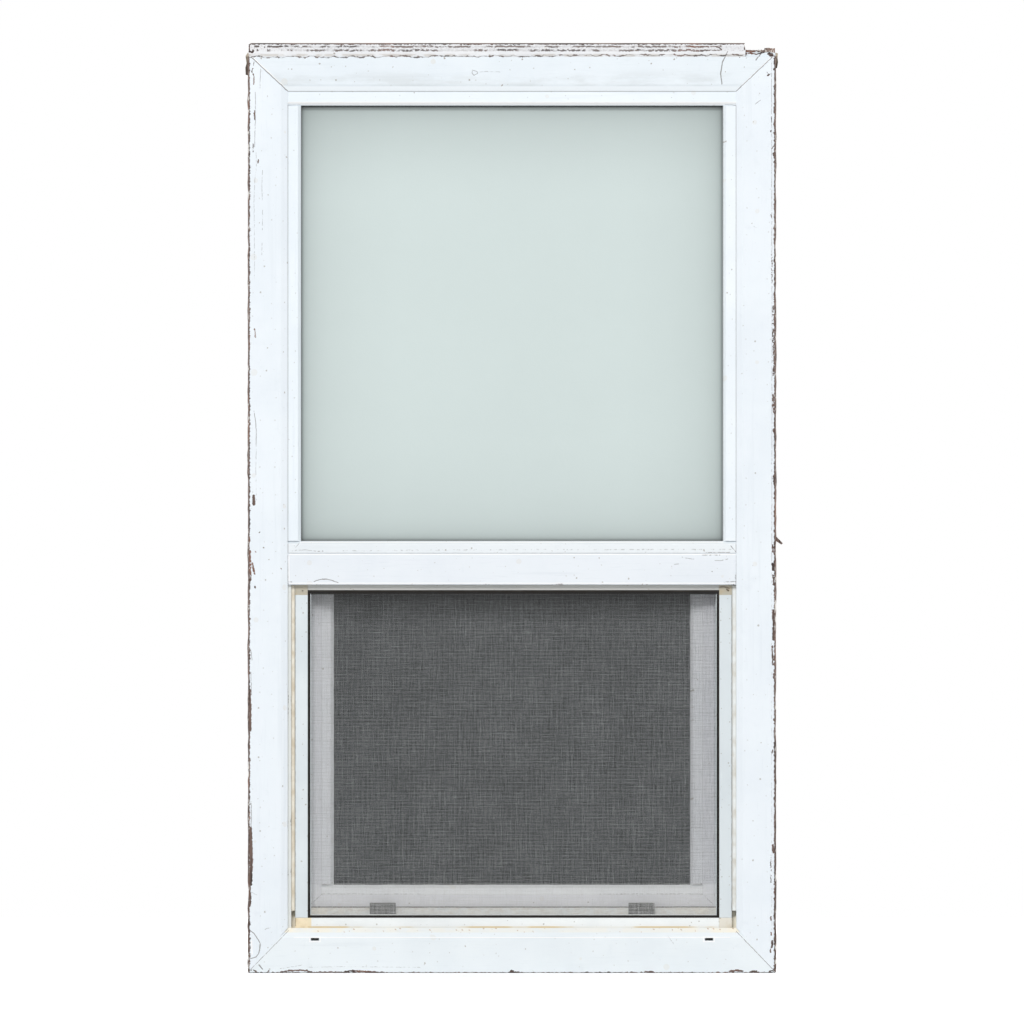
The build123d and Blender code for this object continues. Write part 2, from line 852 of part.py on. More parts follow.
def sash_light():
    """The sash's sealed unit and the beads that hold it from outside."""
    bead_front = sash_front + check_setback
    front = bead_front + sash_bead_depth
    half = stile_line - sash_edge_gap
    low, high = rail_line + sash_edge_gap, check_foot - sash_edge_gap
    sealed_unit("sash", half, low, high, front, sash_cavity)
    inner_low, inner_high = rail_line + sash_foot_bead, check_foot - sash_bead
    slope = sash_bead_depth / 2
    side = [(-stile_line, bead_front), (sash_bead - slope - stile_line, bead_front)]
    side += [(sash_bead - stile_line, bead_front + slope), (sash_bead - stile_line, front)]
    side.append((-stile_line, front))
    parts["sash_bead_left"] = bar_z(side, inner_low, inner_high)
    parts["sash_bead_right"] = flipped(parts["sash_bead_left"])
    for name, edge, inner, way in (
        ("sash_bead_bottom", rail_line, inner_low, -1),
        ("sash_bead_top", check_foot, inner_high, 1),
    ):
        outline = [(bead_front, edge), (bead_front, inner + way * slope)]
        outline += [(bead_front + slope, inner), (front, inner), (front, edge)]
        parts[name] = bar_x(outline, -stile_line, stile_line)


def balance_screw(play=0.0):
    """The screw that fixes the right balance tube's ear to the groove's floor."""
    drive = screw(balance_screw_length, frame_screw_radius, frame_screw_head, play)
    level = opening_top - tube_from_head + ear_length / 2
    return Pos(groove_floor - ear_thickness, y_at(groove_middle), level) * drive


def balances():
    """The tubes fixed in the jamb grooves and the rods that the sash pushes up into them."""
    middle = groove_floor - tube_radius - key_play
    top = opening_top - tube_from_head
    spot = (middle, y_at(groove_middle), top - tube_length / 2)
    tube = Pos(*spot) * Cylinder(tube_radius, tube_length)
    bore = Cylinder(tube_radius - tube_wall, tube_length)
    tube = tube - Pos(spot[0], spot[1], spot[2] - tube_wall) * bore
    depths = (groove_middle - tube_radius + 1, groove_middle + tube_radius - 1)
    ear = slab(groove_floor - ear_thickness, groove_floor, *depths, top - ear_length, top + ear_length)
    ear = ear - Pos(*spot) * Cylinder(tube_radius - tube_wall / 2, tube_length)
    tube = tube + ear - balance_screw(pin_fit)
    parts["right_balance_tube"] = tube
    parts["left_balance_tube"] = flipped(tube)
    low = sash_foot + shoe_rise
    high = top - tube_length + rod_in_tube
    rod = Cylinder(rod_radius, high - low)
    rod = Pos(middle, y_at(groove_middle), (low + high) / 2) * rod
    reach = middle + rod_radius + 1
    half = rod_radius + 2
    depths = (groove_middle - half, groove_middle + half)
    shoe = slab(sash_half, reach, *depths, low, low + shoe_height)
    parts["right_balance_rod"] = rod + shoe
    parts["left_balance_rod"] = flipped(parts["right_balance_rod"])


def frame_screws():
    """The corner screws and the two that hold the balances."""
    right = [corner_screw(depth, level) for depth, level in frame_screw_spots()]
    right.append(balance_screw())
    return Compound(children=right + [flipped(one) for one in right])


def lock_screws(play=0.0):
    """The right one of the two screws that hold the lock, or its hole."""
    drive = screw(lock_screw_length, lock_screw_radius, lock_screw_head, play)
    spot = (lock_screw_from_middle, y_at(lock_axis()), sash_top + lock_height)
    return [Pos(*spot) * Rot(0, 90, 0) * drive]


def lock_axis():
    """The depth of the cam's axis, set so that its nose just clears the keeper's wall."""
    return parting_back - keeper_depth + keeper_wall + 2 * key_play + cam_reach


def lock_body():
    """The lock's cast cover, hollow below for the cam and open towards the meeting rail."""
    axis = y_at(lock_axis())
    front = sash_front + check_setback
    half = lock_width / 2
    outline = [(-half, front, lock_corner), (half, front, lock_corner)]
    outline += [(half, front + lock_depth, lock_corner), (-half, front + lock_depth, lock_corner)]
    body = bar_z(outline, sash_top, sash_top + lock_height)
    body = fillet(body.faces().sort_by(Axis.Z)[-1].edges(), lock_corner / 3)
    room = cam_lift + cam_height + fit
    sweep = cam_reach + 2 * key_play
    cavity = Pos(0, axis, sash_top + room / 2) * Cylinder(sweep, room)
    mouth = slab(-sweep, sweep, front - 1, lock_axis(), sash_top, sash_top + room)
    bore = Pos(0, axis, sash_top + lock_height / 2) * Cylinder(spindle_radius + pin_fit, lock_height + 1)
    holes = lock_screws(pin_fit) + [flipped(hole) for hole in lock_screws(pin_fit)]
    return cut_all(body, [cavity, mouth, bore] + holes)


def lock_cam():
    """The cam: a hub with a hooked nose, and the spindle that the lever is staked on."""
    axis, low = y_at(lock_axis()), sash_top + cam_lift
    hub = Pos(0, axis, low + cam_height / 2) * Cylinder(cam_hub, cam_height)
    nose = [(-cam_hub + 1, 0), (-cam_nose, cam_reach), (cam_nose, cam_reach), (cam_hub - 1, 0)]
    face = face_of(nose, lambda across, along: (across, axis + along, low))
    beak = extrude(face, amount=cam_height, dir=(0, 0, 1))
    beak = beak & Pos(0, axis, low + cam_height / 2) * Cylinder(cam_reach, cam_height)
    top = sash_top + lock_height + fit + lever_height
    spindle = Cylinder(spindle_radius, top - low)
    return hub + beak + Pos(0, axis, (low + top) / 2) * spindle


def lock_lever():
    """The lever: a hub and a tapered thumb piece, lying along the rail when unlocked."""
    axis, low = y_at(lock_axis()), sash_top + lock_height + fit
    hub = Pos(0, axis, low + lever_height / 2) * Cylinder(lever_hub, lever_height)
    root = 0.8 * lever_hub
    outline = [(0, -root), (lever_length, -lever_tip, lever_corner)]
    outline += [(lever_length, lever_tip, lever_corner), (0, root)]
    face = face_of(outline, lambda across, along: (across, axis + along, low))
    thumb = extrude(face, amount=lever_height, dir=(0, 0, 1))
    lever = fillet((hub + thumb).faces().sort_by(Axis.Z)[-1].edges(), lever_round)
    bore = Cylinder(spindle_radius + pin_fit, 3 * lever_height)
    return lever - Pos(0, axis, low) * bore


def sash_lift():
    """The finger lift on the inside of the bottom rail, curled up at its edge."""
    low = upstand_top + lift_above_upstand
    back = sash_back + lift_plate
    reach = sash_back + lift_reach
    outline = [
        (sash_back, low),
        (sash_back, low + lift_height, lift_plate / 3),
        (back, low + lift_height, lift_plate / 3),
        (back, low + lift_plate),
        (reach - lift_plate, low + lift_plate),
        (reach - lift_plate, low + lift_curl),
        (reach, low + lift_curl),
        (reach, low, lift_plate),
    ]
    return bar_x(outline, -lift_length / 2, lift_length / 2)


parts["sill"] = sill()
parts["head"] = head()
parts["left_jamb"] = left_jamb()
parts["right_jamb"] = right_jamb()
parts["head_strip"] = head_strip()
flashing_scraps()
parts["meeting_rail"] = meeting_rail()
parts["lock_keeper"] = lock_keeper()
glazing_beads()
upper_light()
stops()
parts["sash_stops"] = sash_stops()
screen_bars()
parts["screen_corners"] = screen_corners()
screen_cloth()
parts["screen_tabs"] = screen_tabs()
screen_seals()
sash_frame()
sash_light()
balances()
parts["frame_screws"] = frame_screws()
parts["lock_body"] = lock_body()
parts["lock_cam"] = lock_cam()
parts["lock_lever"] = lock_lever()
parts["lock_screws"] = Compound(children=lock_screws() + [flipped(s) for s in lock_screws()])
parts["sash_lift"] = sash_lift()

os.makedirs("parts", exist_ok=True)
for name, shape in parts.items():
    export_step(shape, "parts/" + name + ".step")
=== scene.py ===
# %% [markdown]
# # An old sash window, dressed
# The window comes ready built from the construction model: a mitred timber frame with a fixed
# frosted light above, a half insect screen below it, and the sliding sash behind the screen.
# This lesson gives every piece its finish, adds the few pieces that are too fine for a
# construction model, and sets up the camera and the light of a plain studio picture.
# Everything is in metres. X runs across, Y from outside to inside and Z up.

# %% load the window
import math

import bmesh
import bpy
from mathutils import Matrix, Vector


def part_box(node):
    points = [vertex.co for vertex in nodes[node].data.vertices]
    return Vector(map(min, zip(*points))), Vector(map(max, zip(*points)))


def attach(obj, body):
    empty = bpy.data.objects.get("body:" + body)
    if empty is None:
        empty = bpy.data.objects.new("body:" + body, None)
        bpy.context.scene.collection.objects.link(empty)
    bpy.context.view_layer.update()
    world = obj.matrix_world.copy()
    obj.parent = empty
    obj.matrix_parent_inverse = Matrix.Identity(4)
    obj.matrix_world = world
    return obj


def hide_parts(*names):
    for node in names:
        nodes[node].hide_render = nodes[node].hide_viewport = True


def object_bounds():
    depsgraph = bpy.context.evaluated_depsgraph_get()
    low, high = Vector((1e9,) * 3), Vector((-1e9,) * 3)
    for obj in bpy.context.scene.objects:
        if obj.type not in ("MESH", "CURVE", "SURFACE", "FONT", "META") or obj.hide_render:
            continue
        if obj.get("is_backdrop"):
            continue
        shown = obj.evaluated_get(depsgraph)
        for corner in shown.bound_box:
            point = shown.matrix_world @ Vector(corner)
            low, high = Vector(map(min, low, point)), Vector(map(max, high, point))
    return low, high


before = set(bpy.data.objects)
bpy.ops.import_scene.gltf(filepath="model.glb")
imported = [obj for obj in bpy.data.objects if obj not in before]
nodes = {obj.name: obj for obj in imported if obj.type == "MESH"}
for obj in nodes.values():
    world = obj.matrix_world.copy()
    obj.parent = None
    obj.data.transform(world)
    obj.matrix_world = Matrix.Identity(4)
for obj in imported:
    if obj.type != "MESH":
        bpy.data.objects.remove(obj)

cad_low, cad_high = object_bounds()
bpy.ops.object.select_all(action="DESELECT")
print("pieces:", len(nodes), "size:", [round(value, 4) for value in cad_high - cad_low])

# %% [markdown]
# ## Camera
# The picture was taken straight on from far away, so that verticals stay vertical and nothing
# shows of the frame's sides. A long lens a long way off does the same. One pixel of the picture
# is 1.1334 mm on the window's face, which makes the height of the view 1.16 m.

# %% camera
pixel = 0.0011334
picture = 1024
distance = 30.0
middle_column, foot_row = 512, 973
aim_height = (foot_row - picture / 2) * pixel
camera_data = bpy.data.cameras.new("camera")
camera_data.sensor_width = 36
camera_data.lens = 36 * (distance + cad_low.y) / (picture * pixel)
camera = bpy.data.objects.new("camera", camera_data)
bpy.context.collection.objects.link(camera)
camera.location = (0, -distance, aim_height)
camera.rotation_euler = (math.radians(90), 0, 0)
camera_data.clip_end = 100
bpy.context.scene.camera = camera
print("lens", round(camera_data.lens, 1), "mm from", distance, "m")


def seen(column, row):
    """The place on the window's face, in metres, that a pixel of the picture shows."""
    return (column - middle_column) * pixel, (foot_row - row) * pixel


# %% [markdown]
# ## Light
# A white room gives most of the light, so that a colour shows about as it is written. It is a
# little dimmer for diffuse light than it looks, so that whites don't clip. The Light Path node
# tells the rays apart: what the camera sees directly, in metal or through glass is full white.

# %% white room
scene = bpy.context.scene
scene.view_settings.view_transform = "Standard"
room_light, room_white = 0.462, 1.0
room = bpy.data.worlds.new("white room")
scene.world = room
room.use_nodes = True
tree = room.node_tree
background = tree.nodes["Background"]
background.inputs["Color"].default_value = (1, 1, 1, 1)
rays = tree.nodes.new("ShaderNodeLightPath")
looks = rays.outputs["Is Camera Ray"]
for kind in ("Is Transmission Ray", "Is Glossy Ray"):
    either = tree.nodes.new("ShaderNodeMath")
    either.operation = "MAXIMUM"
    tree.links.new(looks, either.inputs[0])
    tree.links.new(rays.outputs[kind], either.inputs[1])
    looks = either.outputs[0]
level = tree.nodes.new("ShaderNodeMapRange")
tree.links.new(looks, level.inputs["Value"])
level.inputs["To Min"].default_value = room_light
level.inputs["To Max"].default_value = room_white
tree.links.new(level.outputs["Result"], background.inputs["Strength"])
print("the room lights at", room_light, "and looks", room_white)

# %% [markdown]
# ### Lamps
# One large soft lamp in front and above makes the thin shadows under the beads and the meeting
# rail. A weaker one behind does the same for the back of the window.

# %% lamps
lamp_size = 2.2
for name, place, power in (("soft lamp above", (-1.0, -8.8, 5.3), 512), ("soft lamp behind", (1.0, 8.8, 5.3), 330)):
    data = bpy.data.lights.new(name, "AREA")
    data.size, data.energy = lamp_size, power
    lamp = bpy.data.objects.new(name, data)
    bpy.context.collection.objects.link(lamp)
    lamp.location = place
    lamp.rotation_euler = (Vector((0, 0, 0.5)) - Vector(place)).to_track_quat("-Z", "Y").to_euler()
    print(name, power, "W at", place)

# %% [markdown]
# ## Floor
# A plain pale sheet that the window stands on. It takes the window's shadow, and a little light
# of its own that only the camera sees brings it up to the white of the backdrop.

# %% floor
bpy.ops.mesh.primitive_plane_add(size=8, location=(0, 0, 0))
floor = bpy.context.object
floor.name = "floor"
floor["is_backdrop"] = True
print("floor:", len(floor.data.polygons), "face", tuple(floor.dimensions[:2]), "m")

# %% [markdown]
# ## A small kit for finishes
# A finish is a chain of shader nodes. Writing each node by hand is long, so a kit of helpers makes
# them. Colours come first: nodes want linear light, while a picture editor gives 0 to 255.

# %% colours
def shade(red, green, blue):
    """A colour as a picture editor gives it, turned into the linear light that nodes use."""
    linear = []
    for value in (red, green, blue):
        value = value / 255
        linear.append(value / 12.92 if value <= 0.04045 else ((value + 0.055) / 1.055) ** 2.4)
    return (*linear, 1.0)


def dimmer(tone, red, green, blue):
    """A colour with each of its three lights multiplied."""
    return (tone[0] * red, tone[1] * green, tone[2] * blue, 1)


print("middle grey in linear light:", [round(value, 3) for value in shade(128, 128, 128)])

# %% [markdown]
# ### The box of a piece
# Wear follows a piece's edges, so a finish has to know where they are. A construction piece tells
# its box through its own points, and a new piece tells it through Blender.

# %% box of a piece
def box_of(piece):
    """Lowest and highest corner of a node or of a new piece."""
    if isinstance(piece, str):
        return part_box(piece)
    corners = [Vector(corner) for corner in piece.bound_box]
    return [Vector(map(limit, zip(*corners))) for limit in (min, max)]


print("the head ends at", [tuple(round(value, 4) for value in corner) for corner in box_of("head")])

# %% [markdown]
# ### A new material
# A new material starts with its place on the piece and the way a face looks. One method adds any
# kind of node: an input that comes from another node is linked, and any other is set as a value.

# %% new material
class Chain:
    """The shader nodes of a new material for one piece."""

    def __init__(self, piece, name):
        self.material = bpy.data.materials.new(name)
        self.material.use_nodes = True
        self.tree = self.material.node_tree
        self.shader = self.tree.nodes["Principled BSDF"]
        self.low, self.high = box_of(piece)
        self.place = self.node("ShaderNodeTexCoord").outputs["Object"]
        self.x, self.y, self.z = self.node("ShaderNodeSeparateXYZ", {0: self.place}).outputs
        facing = self.node("ShaderNodeNewGeometry").outputs["Normal"]
        self.ny = self.node("ShaderNodeSeparateXYZ", {0: facing}).outputs[1]

    def node(self, kind, inputs=None, **settings):
        made = self.tree.nodes.new(kind)
        for key, value in settings.items():
            setattr(made, key, value)
        for key, value in (inputs or {}).items():
            if isinstance(value, bpy.types.NodeSocket):
                self.tree.links.new(value, made.inputs[key])
            else:
                made.inputs[key].default_value = value
        return made


print(Chain.__doc__)

# %% [markdown]
# ### Sums and mixes
# Math, mix and map range nodes do nearly all the work. A short method for each keeps a finish
# readable. A share runs from 0 to 1, so two shares multiplied mean both, and the larger means any.

# %% sums and mixes
class Sums(Chain):
    """Short ways to add the nodes that count, fade and mix."""

    def math(self, operation, a, b=0.0):
        return self.node("ShaderNodeMath", {0: a, 1: b}, operation=operation).outputs[0]

    def vector(self, operation, a, b=(0, 0, 0), out=0):
        return self.node("ShaderNodeVectorMath", {0: a, 1: b}, operation=operation).outputs[out]

    def scaled(self, a, scale):
        return self.node("ShaderNodeVectorMath", {0: a, 3: scale}, operation="SCALE").outputs[0]

    def ramp(self, value, low, high, start=0.0, end=1.0):
        """start where the value is at low, end where it is at high, and smooth between them."""
        inputs = {0: value, 1: low, 2: high, 3: start, 4: end}
        return self.node("ShaderNodeMapRange", inputs, interpolation_type="SMOOTHSTEP").outputs[0]

    def mix(self, share, a, b):
        return self.node("ShaderNodeMix", {0: share, 6: a, 7: b}, data_type="RGBA").outputs[2]

    def mix_value(self, share, a, b):
        return self.node("ShaderNodeMix", {0: share, 2: a, 3: b}, data_type="FLOAT").outputs[0]

    def both(self, a, *others):
        for other in others:
            a = self.math("MULTIPLY", a, other)
        return a

    def any(self, a, *others):
        for other in others:
            a = self.math("MAXIMUM", a, other)
        return a


print("sums and mixes:", [name for name in vars(Sums) if not name.startswith("_")])

# %% [markdown]
# ### Patterns
# Noise makes what is uneven, cells make spots, and a shaken place on the face keeps lines from
# looking ruled. All of them read Object coordinates, so a pattern stays where it is on the piece.

# %% patterns
class Patterns(Sums):
    """Noise, spots and shaken places."""

    def noise(self, scale, detail=3.0, stretch=(1, 1, 1), shift=0.0, rough=0.5):
        moved = {0: self.place, 1: (shift, shift * 0.7, -shift), 3: stretch}
        inputs = {"Vector": self.node("ShaderNodeMapping", moved).outputs[0],
                  "Scale": scale, "Detail": detail, "Roughness": rough}
        return self.node("ShaderNodeTexNoise", inputs).outputs[0]

    def shake(self, place, scale):
        """A noise in three directions."""
        inputs = {"Vector": place, "Scale": scale, "Detail": 2.0}
        return self.node("ShaderNodeTexNoise", inputs).outputs["Color"]

    def spots(self, scale, size, share, shift=0.0):
        """Small uneven spots on the faces, of which a share of the cells has one."""
        across = self.math("ADD", self.math("ADD", self.x, self.y), shift)
        up = self.math("ADD", self.math("MULTIPLY", self.y, 0.37), self.z)
        at = self.node("ShaderNodeCombineXYZ", {0: across, 1: up}).outputs[0]
        at = self.vector("ADD", at, self.scaled(self.shake(self.place, 700.0), 0.0016))
        found = self.node("ShaderNodeTexVoronoi", {"Vector": at, "Scale": scale}, voronoi_dimensions="2D")
        picks = self.node("ShaderNodeSeparateColor", {0: found.outputs["Color"]}).outputs
        reach = self.ramp(picks[1], 0.0, 1.0, size * 0.3, size)
        inside = self.ramp(self.math("SUBTRACT", found.outputs["Distance"], reach), size * 0.3, 0.0)
        return self.both(inside, self.ramp(picks[0], share, share - 0.02))

    def wavy(self, amount, scale):
        """The place on the face, without its depth, shaken a little."""
        flat = self.node("ShaderNodeCombineXYZ", {0: self.x, 2: self.z}).outputs[0]
        shake = self.vector("SUBTRACT", self.shake(flat, scale), (0.5, 0.5, 0.5))
        return self.vector("ADD", flat, self.scaled(shake, amount))


print("patterns:", [name for name in vars(Patterns) if not name.startswith("_")])

# %% [markdown]
# ### Where on the piece
# A mask says where a mark goes: 1 there and 0 elsewhere. Wear sits near the edges of the piece's
# box, old damage on faces that look outside, and a stain beyond a row or column of the picture.

# %% masks
class Masks(Patterns):
    """Places on a piece that marks keep to."""

    def edge(self):
        """The distance to the nearest edge of the piece's box, for a point on its surface."""
        near = []
        for axis, low, high in zip((self.x, self.y, self.z), self.low, self.high):
            near.append(self.math("SUBTRACT", (high - low) / 2, self.away(axis, (low + high) / 2)))
        a, b, c = near
        return self.any(self.math("MINIMUM", a, b), self.math("MINIMUM", self.any(a, b), c))

    def away(self, value, middle):
        """How far a value is from another, on either side."""
        return self.math("ABSOLUTE", self.math("SUBTRACT", value, middle))

    def front(self):
        """1 on faces that look outside."""
        return self.ramp(self.ny, -0.6, -0.85)

    def front_down(self):
        """1 on faces that look outside or lean outwards."""
        return self.ramp(self.ny, -0.1, -0.3)

    def beyond_column(self, start, end, low=0.0, high=1.0):
        """Rises from low to high between two columns of the picture."""
        return self.ramp(self.x, seen(start, 0)[0], seen(end, 0)[0], low, high)

    def beyond_row(self, start, end, low=0.0, high=1.0):
        """Rises from low to high between two rows of the picture."""
        return self.ramp(self.z, seen(0, start)[1], seen(0, end)[1], low, high)


print("masks:", [name for name in vars(Masks) if not name.startswith("_")])

# %% [markdown]
# ### Lines
# A crack is drawn through a few pixels of the picture. Its distance is the smallest of the
# distances to its straight parts: the place along a part, kept between its ends, and the way
# from there.

# %% lines
class Lines(Masks):
    """Drawn lines."""

    def line(self, points, width, shaken):
        """Distance to a line through pixels of the picture, over the line's width."""
        found = None
        corners = [Vector((seen(*point)[0], 0, seen(*point)[1])) for point in points]
        for start, end in zip(corners, corners[1:]):
            along = end - start
            off = self.vector("SUBTRACT", shaken, start)
            share = self.math("MULTIPLY", self.vector("DOT_PRODUCT", off, along, out=1), 1 / along.length_squared)
            share = self.node("ShaderNodeClamp", {0: share}).outputs[0]
            far = self.vector("DISTANCE", off, self.scaled(along, share), out=1)
            found = far if found is None else self.math("MINIMUM", found, far)
        return self.math("DIVIDE", found, width)


print(Lines.__doc__, "from", seen(0, 0), "at the picture's top left corner")

# %% [markdown]
# ### Into the shader
# The last links go to the Principled shader: colour, roughness and a little bump. Values that are
# the same all over are set on the shader's own sockets.

# %% finish of a piece
class Finish(Lines):
    """A material in the making, and the piece it goes on."""

    sockets = {"specular": "Specular IOR Level", "coat": "Coat Weight", "coat_roughness": "Coat Roughness",
               "through": "Transmission Weight", "ior": "IOR", "metal": "Metallic"}

    def bump(self, height, depth):
        made = self.node("ShaderNodeBump", {"Height": height, "Distance": depth})
        self.tree.links.new(made.outputs[0], self.shader.inputs["Normal"])

    def colour(self, value):
        self.tree.links.new(value, self.shader.inputs["Base Color"])

    def roughness(self, value):
        self.tree.links.new(value, self.shader.inputs["Roughness"])

    def set(self, **values):
        for key, value in values.items():
            self.shader.inputs[self.sockets[key]].default_value = value

    def put_on(self, piece):
        piece = nodes[piece] if isinstance(piece, str) else piece
        piece.data.materials.clear()
        piece.data.materials.append(self.material)
        print(self.material.name, "has", len(self.tree.nodes), "nodes")


print("values that a finish can set:", list(Finish.sockets))

# %% [markdown]
# ### The floor's finish
# Matt and pale, with a hint of cloud. The share of white that only the camera sees hides the
# floor's far edge in the backdrop, and the window's shadow still darkens it.

# %% floor finish
finish = Finish(floor, "pale floor")
grain = finish.ramp(finish.noise(3.0), 0.3, 0.7)
finish.colour(finish.mix(grain, shade(230, 231, 232), shade(234, 235, 236)))
finish.roughness(finish.ramp(grain, 0, 1, 0.6, 0.7))
camera_ray = finish.node("ShaderNodeLightPath").outputs["Is Camera Ray"]
finish.shader.inputs["Emission Color"].default_value = (1, 1, 1, 1)
finish.tree.links.new(finish.both(camera_ray, 0.42), finish.shader.inputs["Emission Strength"])
finish.put_on(floor)

# %% [markdown]
# ## Old white paint
# The frame is painted timber: cool white, a little uneven, with brush marks along the grain,
# small specks of dirt, and brown wood where the paint has chipped off the outer edges. Layers of
# noise make each of these, and the chips follow the piece's own edges, shaken by noise.
# A few cracks and chips that the eye looks for are drawn where the picture has them.

# %% paint and wood colours
white = shade(238, 244, 249)
dirt = shade(166, 160, 150)
bare_wood = shade(118, 98, 90)
dark_wood = shade(64, 54, 51)
grain_along = {"x": (0.04, 1, 1), "z": (1, 1, 0.04)}
print("white paint is", round(white[2] / white[0], 3), "times as blue as red")

# %% [markdown]
# ### The brushed coat
# Noise that is squeezed along the grain gives brush marks and streaks, and two sizes of cloud
# give the places where the coat is thin. All of them only dim the white by a few hundredths.

# %% brushed coat
def brushed_coat(finish, tone, along):
    """White paint with brush marks, streaks and clouds: its colour, its height and its thin patches."""
    brush = finish.noise(900, 4, grain_along[along])
    streak = finish.noise(160, 4, grain_along[along], 2.6)
    cloud = finish.noise(11, 5, shift=1.7, rough=0.6)
    patch = finish.noise(55, 5, shift=4.1, rough=0.6)
    grey = dimmer(tone, 0.90, 0.91, 0.92)
    colour = finish.mix(finish.ramp(cloud, 0.38, 0.68), tone, dimmer(tone, 0.955, 0.962, 0.97))
    for pattern, low, high, most in ((brush, 0.58, 0.78, 0.7), (streak, 0.58, 0.72, 0.45), (patch, 0.60, 0.78, 0.5)):
        colour = finish.mix(finish.ramp(pattern, low, high, 0, most), colour, grey)
    return colour, finish.both(brush, 0.12), patch


print("brushed coat: brush marks", round(1000 / 900, 2), "mm apart")

# %% [markdown]
# ### Specks and thin edges
# Specks of dirt and rust are few and large or many and small, so three sizes are laid over each
# other. Along every edge the paint is a little thinner, which shows as a faint line of dirt.

# %% specks
speck_kinds = (
    # cells per metre, size, share of cells, shift, strength, colour
    (34, 0.032, 0.5, 0.3, 0.55, shade(150, 138, 124)),
    (75, 0.05, 0.5, 1.9, 0.35, dirt),
    (30, 0.10, 0.16, 2.7, 0.16, shade(214, 200, 176)),
)


def specks_and_thin_edges(finish, colour, amount, edge):
    """Specks of three sizes, then the faint dirt along the edges."""
    for scale, size, share, shift, strength, tint in speck_kinds:
        spot = finish.spots(scale, size, share, shift)
        colour = finish.mix(finish.both(spot, min(strength * amount, 1.0)), colour, tint)
    soft = finish.both(finish.noise(260, 3, shift=7.7), 0.0022)
    thin = finish.ramp(finish.math("ADD", edge, soft), 0.0021, 0.0012)
    return finish.mix(finish.both(thin, 0.16), colour, dirt)


print("kinds of speck:", len(speck_kinds))

# %% [markdown]
# ### Worn edges
# The outermost corner of the frame is worn to the wood all along, deeper in some places. Elsewhere
# the paint has chipped off only here and there. Both are a distance to an edge, compared with a
# reach that noise makes ragged.

# %% worn edges
frame_left, frame_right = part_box("left_jamb")[0].x, -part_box("left_jamb")[0].x
foot_edge = -0.0008


def worn_outside(finish, side):
    """Bare wood along one outer side of the frame."""
    axis, at, way = {"left": (finish.x, frame_left, 1), "right": (finish.x, frame_right, -1),
                     "top": (finish.z, finish.high.z, -1), "foot": (finish.z, foot_edge, 1)}[side]
    away = finish.both(finish.math("SUBTRACT", axis, at), way)
    jag = finish.ramp(finish.noise(330, 4, shift=3.3, rough=0.65), 0.35, 0.75, 0.0010, 0.0026)
    bite = finish.ramp(finish.noise(26, 4, shift=9.1, rough=0.7), 0.60, 0.74, 0.0, 0.0030)
    return finish.ramp(finish.math("SUBTRACT", away, finish.math("ADD", jag, bite)), 0.00015, -0.00015)


def chipped_edges(finish, edge, amount):
    """Chips off all the edges, in some stretches only."""
    jag = finish.ramp(finish.noise(420, 4, shift=5.3, rough=0.65), 0.4, 0.8, 0.0004, 0.0026)
    bite = finish.ramp(finish.noise(30, 2, shift=2.2), 0.56, 0.7)
    reach = finish.both(jag, bite)
    return finish.both(finish.ramp(finish.math("SUBTRACT", edge, reach), 0.0002, -0.0002), amount)


print("the frame's outer edges are at", round(frame_left, 4), "and", round(frame_right, 4))

# %% [markdown]
# ### Drawn chips and cracks
# Three kinds of line are drawn: bare wood, dark cracks and painted highlights. A line of less
# than full strength is broken up by noise, as a crack is that comes and goes.

# %% drawn lines
def bare_line(finish, points, width, strength, ragged_place, breaks):
    """A chip along a line, down to the wood."""
    line = finish.ramp(finish.line(points, width, ragged_place), 1.0, 0.8)
    if strength < 1:
        start = 0.62 - 0.32 * strength
        line = finish.both(line, finish.ramp(breaks, start, start + 0.02))
    return finish.both(line, finish.front())


def crack_line(finish, points, width, strength, shaken, breaks):
    """A dark crack along a line."""
    line = finish.ramp(finish.line(points, width, shaken), 1.0, 0.45)
    if strength < 1:
        start = 0.30 + 0.25 * (1 - strength)
        gone = finish.ramp(breaks, start, start + 0.12, 0.1 * strength, 0.3 + 0.7 * strength)
        line = finish.both(line, gone)
    return line


def bare_timber(finish, along):
    """Brown wood with a fine grain and a little red."""
    grain = finish.noise(600, 4, grain_along[along], 6.6)
    tone = finish.mix(finish.ramp(grain, 0.36, 0.62), dark_wood, bare_wood)
    red = finish.ramp(finish.noise(24, 2, shift=0.7), 0.57, 0.70, 0.0, 0.5)
    return finish.mix(red, tone, shade(150, 104, 84))


print("a crack half a millimetre wide is", round(0.0005 / pixel, 2), "pixels")
